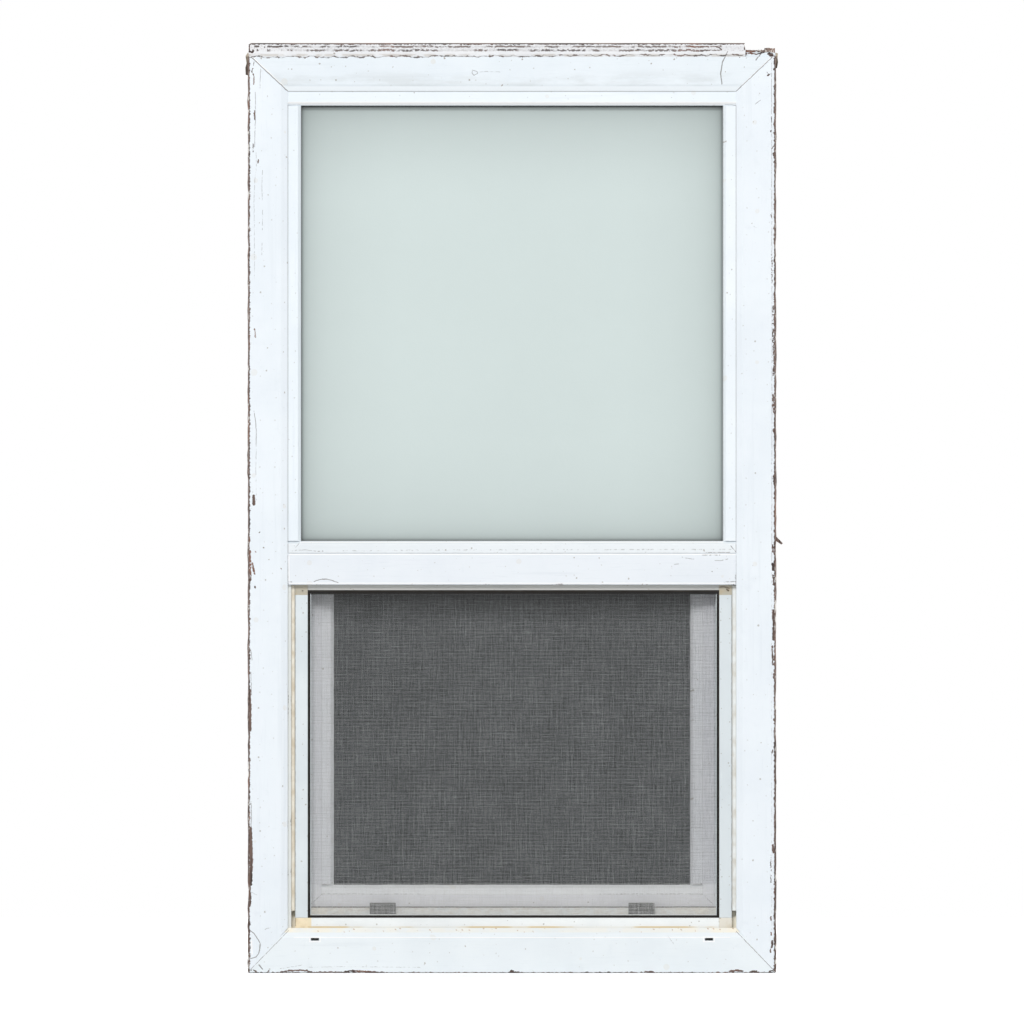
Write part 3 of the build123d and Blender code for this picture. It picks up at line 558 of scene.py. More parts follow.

# %% [markdown]
# ### The whole paint
# The layers go on in the order in which they came on the window: coat, dirt, stains, worn places,
# cracks. Painted highlights go on after the dirt, and the stains of some pieces carry painted light and
# shade. The same function paints every timber piece, and each piece brings its own marks. Bump
# works out its height three times, so the drawn lines, which are long, only give colour.

# %% old paint
def old_paint(piece, along="z", tone=white, chips=0.0, outer=(), wood=(), brown=(), cracks=(), bright=(),
              specks=1.0, stains_and_painted_light=None, seam=None, seam_share=0.8):
    """Old paint on timber. outer has the sides worn to the wood, wood and cracks have drawn lines, and bright has
    lines of painted highlight.
    """
    finish = Finish(piece, "old_paint_" + piece)
    colour, height, patch = brushed_coat(finish, tone, along)
    edge = finish.edge()
    colour = specks_and_thin_edges(finish, colour, specks, edge)
    # Painted highlights: lines of near-white paint where edges and ridges catch the light.
    for points, width in bright:
        painted_highlight = finish.ramp(finish.line(points, width, finish.wavy(0.0006, 150)), 1.0, 0.5)
        colour = finish.mix(painted_highlight, colour, (0.98, 0.98, 0.98, 1))
    if stains_and_painted_light:
        colour = stains_and_painted_light(finish, colour)
    breaks = finish.noise(300, 3, shift=8.8, rough=0.6)
    rough = finish.ramp(patch, 0.2, 0.8, 0.38, 0.52)
    ragged_place = finish.wavy(0.0030, 330)
    worn = [worn_outside(finish, side) for side in outer]
    if chips:
        worn.append(chipped_edges(finish, edge, chips))
    worn += [place(finish) for place in brown]
    if worn:
        height = finish.math("SUBTRACT", height, finish.any(*worn))
    worn += [bare_line(finish, *mark, ragged_place, breaks) for mark in wood]
    if worn:
        worn = finish.any(*worn)
        colour = finish.mix(worn, colour, bare_timber(finish, along))
        rough = finish.math("ADD", rough, finish.both(worn, 0.35))
    shaken = finish.wavy(0.0012, 240)
    lines = [crack_line(finish, *mark, shaken, breaks) for mark in cracks]
    if seam:
        lines.append(finish.both(seam(finish), seam_share))
    if lines:
        lines = finish.both(finish.any(*lines), finish.front(), 0.8)
        colour = finish.mix(lines, colour, shade(104, 96, 92))
    finish.colour(colour)
    finish.roughness(rough)
    finish.bump(height, 0.0004)
    finish.set(specular=0.35)
    finish.put_on(piece)


print(old_paint.__doc__)

# %% [markdown]
# ### Mitre joints
# The four frame pieces meet in mitres. Each joint shows as a thin dark line from the outer to the
# inner corner, stronger at the head, with a painted highlight beside it.

# %% mitre joints
mitre_top_left = ([(249, 55), (287.6, 91)], 0.0007, 1)
mitre_top_right = ([(774.5, 55), (736.4, 91)], 0.0006, 1)
mitre_low_left = ([(249, 971), (288.6, 930.6)], 0.0004, 0.95)
mitre_low_right = ([(774.5, 971), (736.4, 931.5)], 0.0005, 0.95)
# Lines of painted highlight beside the two top mitres.
highlights_beside_mitres = [([(252, 56.4), (288.5, 90.4)], 0.0007), ([(772, 56.6), (737.5, 89.6)], 0.0005)]
for points, width, strength in (mitre_top_left, mitre_top_right, mitre_low_left, mitre_low_right):
    print("mitre from", [round(value, 4) for value in seen(*points[0])], "width", width)

# %% [markdown]
# ### Marks on the head
# A curved crack runs down near the right end, beside a small ring and a scratch in the middle.
# At both ends bare wood shows where the board above it has pulled the paint away.

# %% marks on the head
head_cracks = [
    mitre_top_left,
    mitre_top_right,
    ([(727, 53), (722.5, 62), (720.6, 74), (722, 84)], 0.0008, 1),
    ([(756, 60), (761, 53.5)], 0.0008, 1),
    ([(472.3, 70), (477, 71.5), (477.5, 73.5), (474, 75.5), (472, 73), (472.3, 70)], 0.0004, 1),
    ([(478, 72), (487, 71.5), (500, 72)], 0.0004, 0.6),
]
head_wood = [
    ([(250.5, 55.8), (252, 56.4), (254.3, 54.6)], 0.0011, 1),
    ([(739.4, 57.3), (740, 57.1)], 0.0007, 1),
    ([(744, 53.6), (752, 53), (756, 54.2), (760, 53), (766, 51.6)], 0.0009, 0.95),
    ([(768.5, 53.8), (772, 56.5), (772.6, 54.5), (769, 53.6)], 0.0016, 1),
]
print("drawn on the head:", len(head_cracks), "cracks and", len(head_wood), "chips")

# %% [markdown]
# ### Where the board meets the head
# The joint under the board is a ragged dark line. It wanders over both pieces, so both have it in
# their paint. Where the board is broken off, at the right, the head behind it is bare and stained.

# %% board joint
def behind_board(finish):
    """Bare wood and old layers on the head, set back from its face, where the board is broken off."""
    deep = finish.ramp(finish.y, -0.0300, -0.0296)
    high = finish.beyond_row(52.4, 51.9)
    blotch = finish.ramp(finish.noise(230, 5, (0.5, 1, 0.7), 4.9, 0.65), 0.40, 0.50)
    return finish.both(deep, high, blotch, finish.front())


def board_line(finish):
    """The dark line between the board and the head, up to where the board is broken off."""
    wander = finish.ramp(finish.noise(85, 4, (1, 0, 0), 2.4, 0.6), 0.36, 0.64, -0.0012, 0.0010)
    slope = finish.beyond_column(290, 740, seen(0, 56.8)[1], seen(0, 54.8)[1])
    away = finish.away(finish.z, finish.math("ADD", wander, slope))
    thick = finish.ramp(finish.noise(210, 4, (1, 0, 0), 5.2), 0.40, 0.70, 0.0001, 0.0009)
    line = finish.ramp(finish.math("SUBTRACT", away, thick), 0.0002, -0.0002)
    broken = finish.ramp(finish.noise(130, 3, (1, 0, 0), 7.7), 0.30, 0.40, 0.3, 0.9)
    return finish.both(line, finish.beyond_column(748, 744), broken)


print("the joint falls", round((56.8 - 54.8) * pixel * 1000, 1), "mm from right to left")

# %% [markdown]
# ### The head
# Low on its face the paint is mottled grey, and the moulded edge below that is painted lighter, as
# painted light that lifts the shade of its downward-leaning face.

# %% head
def head_mottle_and_lit_edge(finish, colour):
    """Grey mottling low on the head, and painted light on its downward-leaning moulded edge."""
    patch = finish.ramp(finish.noise(38, 5, (0.25, 1, 1), 8.3, 0.65), 0.42, 0.62, 0, 0.55)
    low = finish.both(finish.beyond_row(66, 82), finish.beyond_row(87, 85.5))
    colour = finish.mix(finish.both(patch, low), colour, shade(208, 214, 216))
    # Painted light: the moulded edge, which leans outwards and down, is painted lighter to lift its shade.
    edge = finish.both(finish.beyond_row(85.8, 86.8), finish.front_down())
    return finish.mix(edge, colour, shade(240, 246, 250))


old_paint("head", "x", shade(234, 241, 246), outer=("top",), wood=head_wood, brown=(behind_board, board_line),
          cracks=head_cracks, bright=highlights_beside_mitres, specks=1.5, stains_and_painted_light=head_mottle_and_lit_edge)

# %% [markdown]
# ### The left jamb
# Thin lines run down beside its outer edge, where the paint is lifting. The one that the eye finds
# first is an arc low down, where a flake stands off, with a painted highlight on its outer side.

# %% lines on the left jamb
jamb_lines = [
    ([(255.3, 92), (255.5, 112), (255, 130), (254.6, 147)], 0.0005, 0.7),
    ([(260.6, 68), (260, 88)], 0.0005, 0.6),
    ([(262.6, 170), (261.8, 185), (262.3, 200)], 0.0004, 0.7),
    ([(262.6, 210), (262.4, 230)], 0.0004, 0.7),
    ([(262, 243), (261.8, 255)], 0.0004, 0.5),
    ([(256, 152), (256.4, 166), (254.8, 180), (254, 200), (254.3, 225), (254.6, 280)], 0.0004, 0.5),
    ([(254, 411), (255.5, 421), (256.3, 434), (256, 446)], 0.0005, 0.9),
    ([(256.2, 449), (255.8, 470), (256.4, 500)], 0.0004, 0.5),
    ([(251, 650), (252, 660)], 0.0005, 0.8),
    ([(250.8, 672), (251.6, 695)], 0.0005, 0.8),
    ([(251, 803), (251.4, 815), (251, 828)], 0.0005, 1),
    ([(251, 892), (257, 895)], 0.0003, 0.7),
    ([(250.4, 930.5), (253.7, 933.2), (256.2, 936.9), (259, 941.1), (260.4, 944.9), (259.6, 949), (258.5, 953.6),
      (256.2, 956.8), (253.7, 957.6), (250, 959)], 0.0006, 1),
    ([(259.3, 944), (259.6, 951)], 0.0004, 0.8),
    ([(264, 930), (267, 928.4), (270.5, 927.6)], 0.0004, 0.6),
]
print("lines on the left jamb:", len(jamb_lines))

# %% [markdown]
# ### Its chips
# Bare wood shows where flakes have gone: long narrow chips beside the edge and single dots
# further in. With them the jamb has all its marks and can be painted.

# %% left jamb
left_wood = [
    ([(254.6, 61), (253.6, 66)], 0.0004, 0.7),
    ([(253.2, 68.5), (251.3, 71), (252.6, 73)], 0.0006, 0.95),
    ([(252.6, 73), (254, 76.5), (254.2, 80)], 0.0007, 0.8),
    ([(253.8, 81), (253.6, 84)], 0.0007, 1),
    ([(254.4, 111), (254.8, 120)], 0.0010, 1),
    ([(258.6, 160), (257.8, 163)], 0.0009, 1),
    ([(253.0, 144), (253.2, 152)], 0.0005, 0.8),
    ([(254.6, 329), (255.4, 337)], 0.0007, 0.7),
    ([(253.6, 496), (253.9, 504)], 0.0019, 1),
    ([(252.3, 563), (254.4, 574)], 0.0012, 0.95),
    ([(250, 555), (250.6, 580)], 0.0012, 0.7),
    ([(249.6, 690), (250.2, 705), (250.4, 730)], 0.0016, 0.95),
    ([(250.2, 828), (251, 845), (251.4, 862), (250.6, 884)], 0.0020, 1),
    ([(250, 884), (250.2, 905)], 0.0012, 0.8),
    ([(263.3, 547.5), (263.8, 548)], 0.0006, 1),
    ([(260, 531.5), (259, 532.5)], 0.0006, 1),
    ([(255.4, 551.3), (255.8, 552)], 0.0007, 1),
    ([(281, 568.3), (281.4, 569)], 0.0007, 1),
    ([(255, 586.5), (255.4, 587.4)], 0.0008, 1),
    ([(249.6, 938), (250, 940)], 0.0010, 1),
]
# A painted highlight along the lifted flake's outer side.
flake = [([(251.6, 941), (252, 954)], 0.0010)]
old_paint("left_jamb", "z", outer=("left",), wood=left_wood, bright=flake,
          cracks=[mitre_top_left, mitre_low_left] + jamb_lines)

# %% [markdown]
# ### The right jamb
# One long straight line runs down its whole length beside the outer edge, and the chips there are
# longer than at the left.

# %% right jamb
right_lines = [
    ([(771.6, 58), (771.8, 200), (772, 300), (771.8, 560)], 0.0004, 0.75),
    ([(771.6, 560), (771.8, 930)], 0.0004, 0.35),
    ([(767, 72), (768.5, 74)], 0.0005, 1),
    ([(755.5, 104), (760.5, 100)], 0.0004, 1),
    ([(753.5, 226), (757, 228)], 0.0003, 0.7),
]
right_wood = [
    ([(767.6, 75.5), (769.5, 74.5)], 0.0008, 1),
    ([(771.4, 117), (771.6, 122)], 0.0005, 1),
    ([(771, 130.5), (771, 132)], 0.0006, 1),
    ([(771.8, 149), (773.4, 146)], 0.0006, 1),
    ([(770.8, 215), (771.4, 217)], 0.0008, 1),
    ([(771.8, 254), (772, 284)], 0.0006, 0.55),
    ([(773, 305), (773.4, 375)], 0.0009, 0.4),
    ([(773, 395), (773.5, 412)], 0.0012, 0.7),
    ([(772.6, 545), (773, 552)], 0.0010, 0.9),
    ([(772.6, 564), (773.4, 570)], 0.0016, 1),
    ([(773, 575), (773.6, 585)], 0.0010, 0.8),
    ([(773.2, 610), (773.4, 640)], 0.0014, 0.9),
    ([(772, 646), (773, 665)], 0.0010, 0.6),
    ([(773, 750), (772, 753)], 0.0008, 1),
    ([(773, 845), (773.4, 852)], 0.0014, 1),
    ([(770.8, 858), (770.8, 884)], 0.0006, 0.5),
    ([(771, 917), (771, 920)], 0.0008, 1),
    ([(771, 932), (771, 935)], 0.0009, 1),
    ([(772.4, 941), (771.8, 947)], 0.0014, 1),
    ([(770.4, 949), (770.6, 952)], 0.0009, 1),
]
old_paint("right_jamb", "z", outer=("right",), wood=right_wood,
          cracks=[mitre_top_right, mitre_low_right] + right_lines)

# %% [markdown]
# ### Stains and painted shade of the sill
# Water stands on the sill, so it has the most stains: a cream lip with rust specks outside, and old
# dirt in the track and on the dam behind the screen. Painted shade darkens the weep holes and the gap
# below the sash, and the cream in the track's corners is painted light enough to lift the hollow's
# shade. Masks by height and by depth keep each of them to its own step of the sill.

# %% stains and painted shade of the sill
front_face = cad_low.y
rust_kinds = ((70, 0.08, 0.45, 1.3), (130, 0.11, 0.4, 3.1))


def lip_stain(finish, colour):
    """Cream staining on the lip, stronger at its ends, with rust specks outside."""
    before_sash = finish.ramp(finish.y, 0.004, 0.0)
    high = finish.both(before_sash, finish.ramp(finish.z, 0.0452, 0.0466))
    patch = finish.ramp(finish.noise(60, 3, shift=3.9), 0.25, 0.6, 0.3, 1)
    ends = finish.ramp(finish.away(finish.x, 0.0), 0.16, 0.25, 0.45, 1)
    colour = finish.mix(finish.both(high, patch, ends), colour, shade(250, 243, 226))
    outside = finish.ramp(finish.y, -0.032, -0.035)
    for kind in rust_kinds:
        rust = finish.both(finish.spots(*kind), high, outside, 0.6)
        colour = finish.mix(rust, colour, shade(184, 146, 104))
    return colour


def track_stains_and_painted_light(finish, colour):
    """Old dirt in the track and on the dam, painted shade in the gap below the sash, and cream in the corners, painted
    light enough to lift the hollow's shade.
    """
    inside = finish.both(finish.ramp(finish.y, -0.034, -0.030), finish.ramp(finish.y, 0.004, 0.0))
    dirty = finish.ramp(finish.noise(260, 5, (0.5, 1, 1), 7.1, 0.65), 0.40, 0.72, 0.0, 0.5)
    colour = finish.mix(finish.both(inside, dirty), colour, shade(206, 192, 176))
    # Painted shadow in the gap between the sash's foot and the dam.
    gap = finish.ramp(finish.away(finish.z, seen(0, 907.0)[1]), 0.0014, 0.0010)
    colour = finish.mix(finish.both(gap, inside), colour, shade(70, 52, 40))
    # Painted light: the cream in the track's corners is lifted against the hollow's shade.
    corner = finish.ramp(finish.away(finish.x, 0.0), 0.2440, 0.2452)
    return finish.mix(finish.both(inside, corner), colour, shade(253, 246, 228))


def sill_stains_and_shade(finish, colour):
    """The lip's and the track's stains and painted light, and painted shade in the wells behind the weep slots."""
    colour = track_stains_and_painted_light(finish, lip_stain(finish, colour))
    # Painted shade inside the weep slots.
    deep = finish.ramp(finish.y, front_face + 0.0015, front_face + 0.003)
    shallow = finish.ramp(finish.y, front_face + 0.016, front_face + 0.014)
    height = finish.both(finish.ramp(finish.z, 0.0425, 0.0415), finish.ramp(finish.z, 0.030, 0.0325))
    return finish.mix(finish.both(height, deep, shallow), colour, shade(22, 18, 16))


print("the sill's face is at y", round(front_face, 5))

# %% [markdown]
# ### The sill
# Painted highlights stand round the two weep slots and along the nosing, and the foot is chipped.

# %% sill
sill_cracks = [
    mitre_low_left,
    mitre_low_right,
    ([(259, 965), (262.5, 969)], 0.0009, 1),
    ([(280, 968.6), (292, 966.9), (303, 964.9)], 0.0004, 0.5),
    ([(308, 967.2), (345, 966.6), (420, 967.4)], 0.0004, 0.4),
    ([(668, 936), (673, 943), (676, 949)], 0.0005, 0.3),
]
sill_wood = [
    ([(250, 970), (253, 969.5), (256, 971.6)], 0.0010, 0.9),
    ([(267.5, 971.8), (268.8, 970.6)], 0.0008, 1),
    ([(280.5, 972.4), (285, 971.4), (291, 970.5), (300, 970.4), (307, 970.7), (312, 972.4)], 0.0010, 1),
    ([(317, 972.2), (342, 972.2)], 0.0009, 1),
    ([(345, 971.6), (352, 970.9), (362, 971.2), (375, 972)], 0.0011, 0.9),
    ([(379, 972.4), (384, 972.2)], 0.0009, 1),
    ([(645, 972), (653, 971.6)], 0.0010, 1),
    ([(730, 971.4), (736, 970.3), (742, 971)], 0.0013, 0.95),
    ([(750, 972), (756, 971)], 0.0013, 1),
    ([(769.5, 971.6), (775, 970.2)], 0.0011, 0.95),
]
# Lines of painted highlight along the nosing and round the weep slots.
sill_highlights = [([(294, 937.4), (520, 937.6), (730, 937.4)], 0.0006)]
for left, right in ((309.6, 320.4), (703.4, 714.4)):
    ring = [(left, 937.2), (right, 937.2), (right, 941.6), (left, 941.6), (left, 937.2)]
    sill_highlights.append((ring, 0.0008))
old_paint("sill", "x", shade(238, 244, 247), outer=("foot",), wood=sill_wood, cracks=sill_cracks,
          bright=sill_highlights, stains_and_painted_light=sill_stains_and_shade)

# %% [markdown]
# ### The board on the head
# A thin board is planted on top of the head's face. Its paint has peeled in two rows, so that
# reddish brown grain shows: separate chips at the left, and thin broken lines further on. Cream
# filler is smeared along its foot. Chips and filler are noise that is kept to its row.

# %% chips of the board
def rows_of_chips(finish):
    """Two rows of chips along the board."""
    wander = finish.ramp(finish.noise(120, 3, (1, 0, 0), 6.1), 0.35, 0.65, -0.0004, 0.0004)
    left = finish.beyond_column(300, 285)
    ends = finish.beyond_column(722.5, 721)
    rows = []
    for row, half, low in ((46.5, 0.0011, 0.40), (50.3, 0.0013, 0.42)):
        middle = finish.away(finish.z, finish.math("ADD", wander, seen(0, row)[1]))
        body = finish.ramp(finish.noise(330, 5, (0.8, 1, 1), row, 0.7), low, low + 0.12)
        chip = finish.ramp(finish.math("SUBTRACT", middle, finish.both(body, half)), 0.00006, -0.00012)
        patch = finish.ramp(finish.noise(42, 3, (1, 0, 0), row * 2), 0.42, 0.50, 0.15, 0.85)
        few = finish.ramp(finish.noise(190, 2, (1, 0, 0), row), 0.52, 0.55, 0, 0.9)
        rows.append(finish.both(chip, ends, finish.mix_value(left, patch, few)))
    return finish.any(*rows)


def cream_foot(finish, colour):
    """Cream filler along the board's foot, and grey grime between the chips."""
    filler = finish.ramp(finish.noise(75, 4, (0.6, 1, 1), 1.4), 0.44, 0.56)
    filler = finish.both(finish.beyond_row(53.2, 54.4), filler, 0.8)
    colour = finish.mix(filler, colour, shade(208, 203, 198))
    grime = finish.ramp(finish.noise(620, 5, (0.8, 1, 1), 3.8, 0.7), 0.46, 0.66, 0.05, 0.5)
    inner = finish.ramp(finish.away(finish.z, seen(0, 48.6)[1]), 0.0036, 0.0022)
    return finish.mix(finish.both(grime, inner), colour, shade(160, 150, 150))


print("rows of chips at heights", [round(seen(0, row)[1], 4) for row in (46.5, 50.3)])

# %% [markdown]
# ### The board's own marks
# Its left end is bare round the corner, and a crack crosses it near the broken right end.

# %% board
strip_wood = [
    ([(249.6, 43), (249.2, 51.5)], 0.0009, 1),
    ([(249.5, 51.3), (252, 52.3), (253.5, 50.6)], 0.0010, 1),
    ([(744.4, 44), (744.8, 50)], 0.0007, 1),
    ([(690, 46.6), (716, 46.7), (719.6, 47.6), (721.4, 49.6)], 0.0007, 1),
    ([(700, 49.8), (704, 50.3), (711, 49.8), (713, 50.3), (721, 49.9)], 0.0006, 1),
    ([(252.5, 49.6), (253.6, 48.6), (256, 46.6), (259, 46), (266, 45.9)], 0.0003, 0.9),
]
board_crack = ([(727.6, 51.5), (725.2, 56.5)], 0.0006, 1)
old_paint("head_strip", "x", shade(238, 239, 241), outer=("top",), wood=strip_wood,
          brown=(rows_of_chips, board_line), cracks=[board_crack], specks=1.5, stains_and_painted_light=cream_foot)

# %% [markdown]
# ## Raw edges
# Along the outer edges the paint is gone and the wood's fibres stand out ragged. A straight edge
# can't show that in outline, so a thin strip of fibres is laid along each jamb's outer corner, in
# the room that the rounded edge leaves. It starts as a box, is cut into short lengths, and two
# sizes of cloud push the cuts in and out.

# %% cut boxes
def long_edges(piece, least):
    """In edit mode, selects the edges of a piece that are longer than a length."""
    bpy.ops.mesh.select_mode(type="EDGE")
    bpy.ops.mesh.select_all(action="DESELECT")
    edit = bmesh.from_edit_mesh(piece.data)
    for edge in edit.edges:
        edge.select = edge.calc_length() > least
    bmesh.update_edit_mesh(piece.data)


def cut_box(name, place, size, least, cuts):
    """A box of a size at a place, cut across its long edges."""
    bpy.ops.object.select_all(action="DESELECT")
    bpy.ops.mesh.primitive_cube_add(size=1, location=place, scale=size)
    piece = bpy.context.object
    piece.name = name
    bpy.ops.object.transform_apply()
    bpy.ops.object.mode_set(mode="EDIT")
    long_edges(piece, least)
    bpy.ops.mesh.subdivide(number_cuts=cuts)
    bpy.ops.object.mode_set(mode="OBJECT")
    return piece


print(cut_box.__doc__)

# %% [markdown]
# ### Push and join
# Displace moves points by a cloud. A large cloud and then a small one give waves with splinters
# on them. Pieces that belong together are joined at the end.

# %% push and join
def push_by_clouds(piece, pushes, depth):
    """Moves a piece's points by clouds, each with a direction, a size and an amount."""
    for direction, size, amount in pushes:
        cloud = bpy.data.textures.new(piece.name + " cloud", "CLOUDS")
        cloud.noise_scale, cloud.noise_depth = size, depth
        push = piece.modifiers.new("push", "DISPLACE")
        push.texture, push.direction, push.strength = cloud, direction, amount
        push.texture_coords = "LOCAL"
        bpy.ops.object.modifier_apply(modifier="push")


def join(pieces, name):
    """Joins pieces into the last one."""
    bpy.ops.object.select_all(action="DESELECT")
    for piece in pieces:
        piece.select_set(True)
    bpy.context.view_layer.objects.active = pieces[-1]
    bpy.ops.object.join()
    joined = bpy.context.object
    joined.name = name
    return joined


print(push_by_clouds.__doc__)

# %% [markdown]
# ### Along the jambs
# Each strip is two millimetres wide and lies flush with the frame's face, so its points are kept
# from standing out in front of it.

# %% raw edges
raw_pushes = (("X", 0.0060, 0.0014), ("X", 0.0014, 0.0026), ("Y", 0.0020, 0.0006))
raw_foot, raw_top = 0.0012, seen(0, 56)[1]
raw = []
for name, left, right in (("raw_edge_left", -0.2993, -0.2972), ("raw_edge_right", 0.2972, 0.2993)):
    low = Vector((left, front_face + 0.0002, raw_foot))
    high = Vector((right, front_face + 0.0040, raw_top))
    piece = cut_box(name, (low + high) / 2, high - low, (raw_top - raw_foot) * 0.9, 1000)
    push_by_clouds(piece, raw_pushes, 3)
    for point in piece.data.vertices:
        point.co.y = min(max(point.co.y, front_face + 0.0001), 0)
    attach(piece, "frame")
    raw.append(piece)
    print(name, "has", len(piece.data.vertices), "points")

# %% [markdown]
# ### Worn layers
# Where the board is broken off, layers of old paint stand on the head's right end. They are three
# short ragged strips of different depths, joined into one piece.

# %% worn layers
layer_pushes = (("Z", 0.0050, 0.0022), ("Z", 0.0016, 0.0012), ("Y", 0.003, 0.0008))
layer_sizes = (
    # left, right, foot, top, depth behind the frame's face
    (0.2646, 0.2870, 1.0402, 1.0462, 0.0122),
    (0.2862, 0.2982, 1.0402, 1.0484, 0.0126),
    (0.2662, 0.2960, 1.0400, 1.0448, 0.0150),
)
layers = []
for left, right, foot, top, depth in layer_sizes:
    low = Vector((left, front_face + depth, foot))
    high = Vector((right, front_face + depth + 0.006, top))
    layer = cut_box("layer" + str(len(layers)), (low + high) / 2, high - low, (right - left) * 0.9, 40)
    push_by_clouds(layer, layer_pushes, 3)
    layers.append(layer)
layers = join(layers[::-1], "worn_layers")
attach(layers, "frame")
raw.append(layers)
print("worn_layers has", len(layers.data.vertices), "points")

# %% [markdown]
# ### Raw wood
# Grey weathered fibres with darker wood low down, reddish patches and flakes of white that still
# hold. The worn layers have cream paint with a brown outline instead.

# %% raw wood
def layer_paint(finish, colour):
    """Cream paint with a brown outline."""
    cream = finish.ramp(finish.noise(300, 4, (0.7, 1, 1), 2.7, 0.6), 0.44, 0.52)
    outline = finish.any(finish.ramp(finish.z, 1.0468, 1.0473), finish.ramp(finish.x, 0.2966, 0.2971),
                         finish.ramp(finish.x, 0.2874, 0.2869))
    inner = finish.both(cream, finish.math("SUBTRACT", 1, outline))
    return finish.mix(inner, colour, shade(226, 218, 210))


def raw_wood(piece, along):
    """Weathered bare wood."""
    finish = Finish(piece, "raw_wood_" + piece.name)
    grain = finish.noise(1100, 5, along, 1.1, 0.65)
    colour = finish.mix(finish.ramp(grain, 0.36, 0.64), shade(84, 74, 70), shade(158, 140, 132))
    colour = finish.mix(finish.ramp(finish.z, 0.34, 0.26, 0, 0.45), colour, shade(70, 56, 50))
    patch = finish.ramp(finish.noise(70, 4, along, 3.9), 0.54, 0.68, 0, 0.5)
    colour = finish.mix(patch, colour, shade(160, 122, 104))
    flake = finish.ramp(finish.noise(330, 4, along, 6.1, 0.6), 0.57, 0.62, 0, 0.95)
    colour = finish.mix(flake, colour, shade(222, 218, 212))
    if piece is layers:
        colour = layer_paint(finish, colour)
    finish.colour(colour)
    finish.roughness(finish.ramp(grain, 0.3, 0.7, 0.75, 0.95))
    finish.bump(grain, 0.0005)
    finish.set(specular=0.2)
    finish.put_on(piece)


for piece in raw:
    raw_wood(piece, (0.4, 1, 1) if piece is layers else (1, 1, 0.3))

# %% [markdown]
# ## Meeting rail
# The rail between the two lights stands in front of the glazing beads. It has painted highlights along
# its edges, an arched crack at the left and short scratches elsewhere.

# %% meeting rail
rail_cracks = [
    ([(314, 581.4), (317, 580.4), (320, 579.6), (325, 579), (328, 579.4), (333, 580.8), (338, 582.6)], 0.0006, 1),
    ([(322, 579.2), (327, 579.3)], 0.0008, 1),
    ([(702, 555.2), (720, 555)], 0.0008, 0.5),
    ([(715, 560.4), (721, 560.6), (728, 559)], 0.0005, 0.7),
    ([(724, 582.2), (736, 581.4)], 0.0007, 0.7),
    ([(682, 557), (688, 558.6), (694, 559)], 0.0005, 0.6),
    ([(674.4, 564.2), (679, 564)], 0.0005, 0.8),
    ([(712, 571.5), (712.4, 571.6)], 0.0006, 1),
    ([(289, 581.8), (292, 582)], 0.0006, 0.8),
    ([(287.4, 555), (287.5, 570), (287.7, 584)], 0.0009, 1),
    ([(736.9, 555), (736.8, 570), (736.9, 584)], 0.0009, 1),
]
# Lines of painted highlight along the rail's top, foot and left end.
rail_highlights = [
    ([(289.4, 554.4), (520, 554.2), (735, 554.4)], 0.0008),
    ([(289.6, 583.2), (520, 583.2), (735, 583.2)], 0.0007),
    ([(288.9, 556), (289, 582)], 0.0006),
]
old_paint("meeting_rail", "x", shade(235, 240, 245), chips=0.5, cracks=rail_cracks, bright=rail_highlights)

# %% [markdown]
# ## Beads
# Dirt sits in the seams round the glazing beads, which reads as a fine grey line. At the foot the
# joints are filled with paint, so the upper light's beads have the line at their sides only.

# %% seams
def seam_round(finish):
    """A grey line along the outer edges of a bead, where it meets the frame."""
    shaken = finish.math("ADD", finish.edge(), finish.both(finish.noise(150), 0.0003))
    return finish.ramp(shaken, 0.0009, 0.0004)


def seam_sides(finish):
    """The same line at the left and right only."""
    far = finish.away(finish.x, (finish.low.x + finish.high.x) / 2)
    half = (finish.high.x - finish.low.x) / 2
    return finish.ramp(far, half - 0.0009, half - 0.0004)


def seam_above(finish):
    """A dark line above the top bead."""
    return finish.ramp(finish.z, finish.high.z - 0.0013, finish.high.z - 0.0006)


print("kinds of seam:", [seam.__name__ for seam in (seam_round, seam_sides, seam_above)])

# %% [markdown]
# ### Beads of the upper light
# The lower bead has the most cracks, where water runs down the glass. A dark line stands beside
# the right bead, and short ones cross the joints at the top corners.

# %% beads of the upper light
bead_joints = [
    ([(725, 104.3), (732, 104.8), (738, 105.6)], 0.0006, 1),
    ([(287, 105.4), (293, 104.8), (300, 104.6)], 0.0005, 0.8),
]
right_edge = ([(723.3, 104), (723.4, 300), (723.3, 541)], 0.0007, 1)
bead_cracks = [
    ([(292, 551), (297, 550), (305, 549.9), (312, 550.5), (316, 551.2)], 0.0004, 0.7),
    ([(318, 551.4), (322.7, 551)], 0.0006, 0.8),
    ([(340, 550.8), (420, 550.2), (520, 549.6), (640, 549.6), (736, 549.4)], 0.0009, 0.15),
    ([(604, 549.6), (706, 549.4)], 0.0005, 0.3),
    ([(295.6, 547.6), (299.5, 542.8)], 0.0004, 0.8),
    ([(731, 546), (736, 552)], 0.0006, 0.9),
    ([(301, 540.4), (302, 541)], 0.0009, 1),
    ([(706, 552.6), (730, 552.4)], 0.0006, 0.6),
]
# Painted light: a light band on the top bead's downward-facing nose lifts its shade, and a painted highlight runs
# along the top of the lower bead.
old_paint("upper_bead_top", "x", shade(240, 247, 252), cracks=bead_joints, seam=seam_above, seam_share=0.6,
          bright=[([(288, 103.2), (520, 103.2), (737, 103.2)], 0.0022)])
old_paint("upper_bead_left", "z", shade(239, 246, 251), cracks=bead_joints, seam=seam_sides)
old_paint("upper_bead_right", "z", shade(242, 248, 252), cracks=[right_edge] + bead_joints, seam=seam_sides)
old_paint("upper_bead_bottom", "x", shade(236, 241, 244), cracks=bead_cracks, seam=seam_sides,
          bright=[([(300, 542.4), (723, 542.2)], 0.0006)])

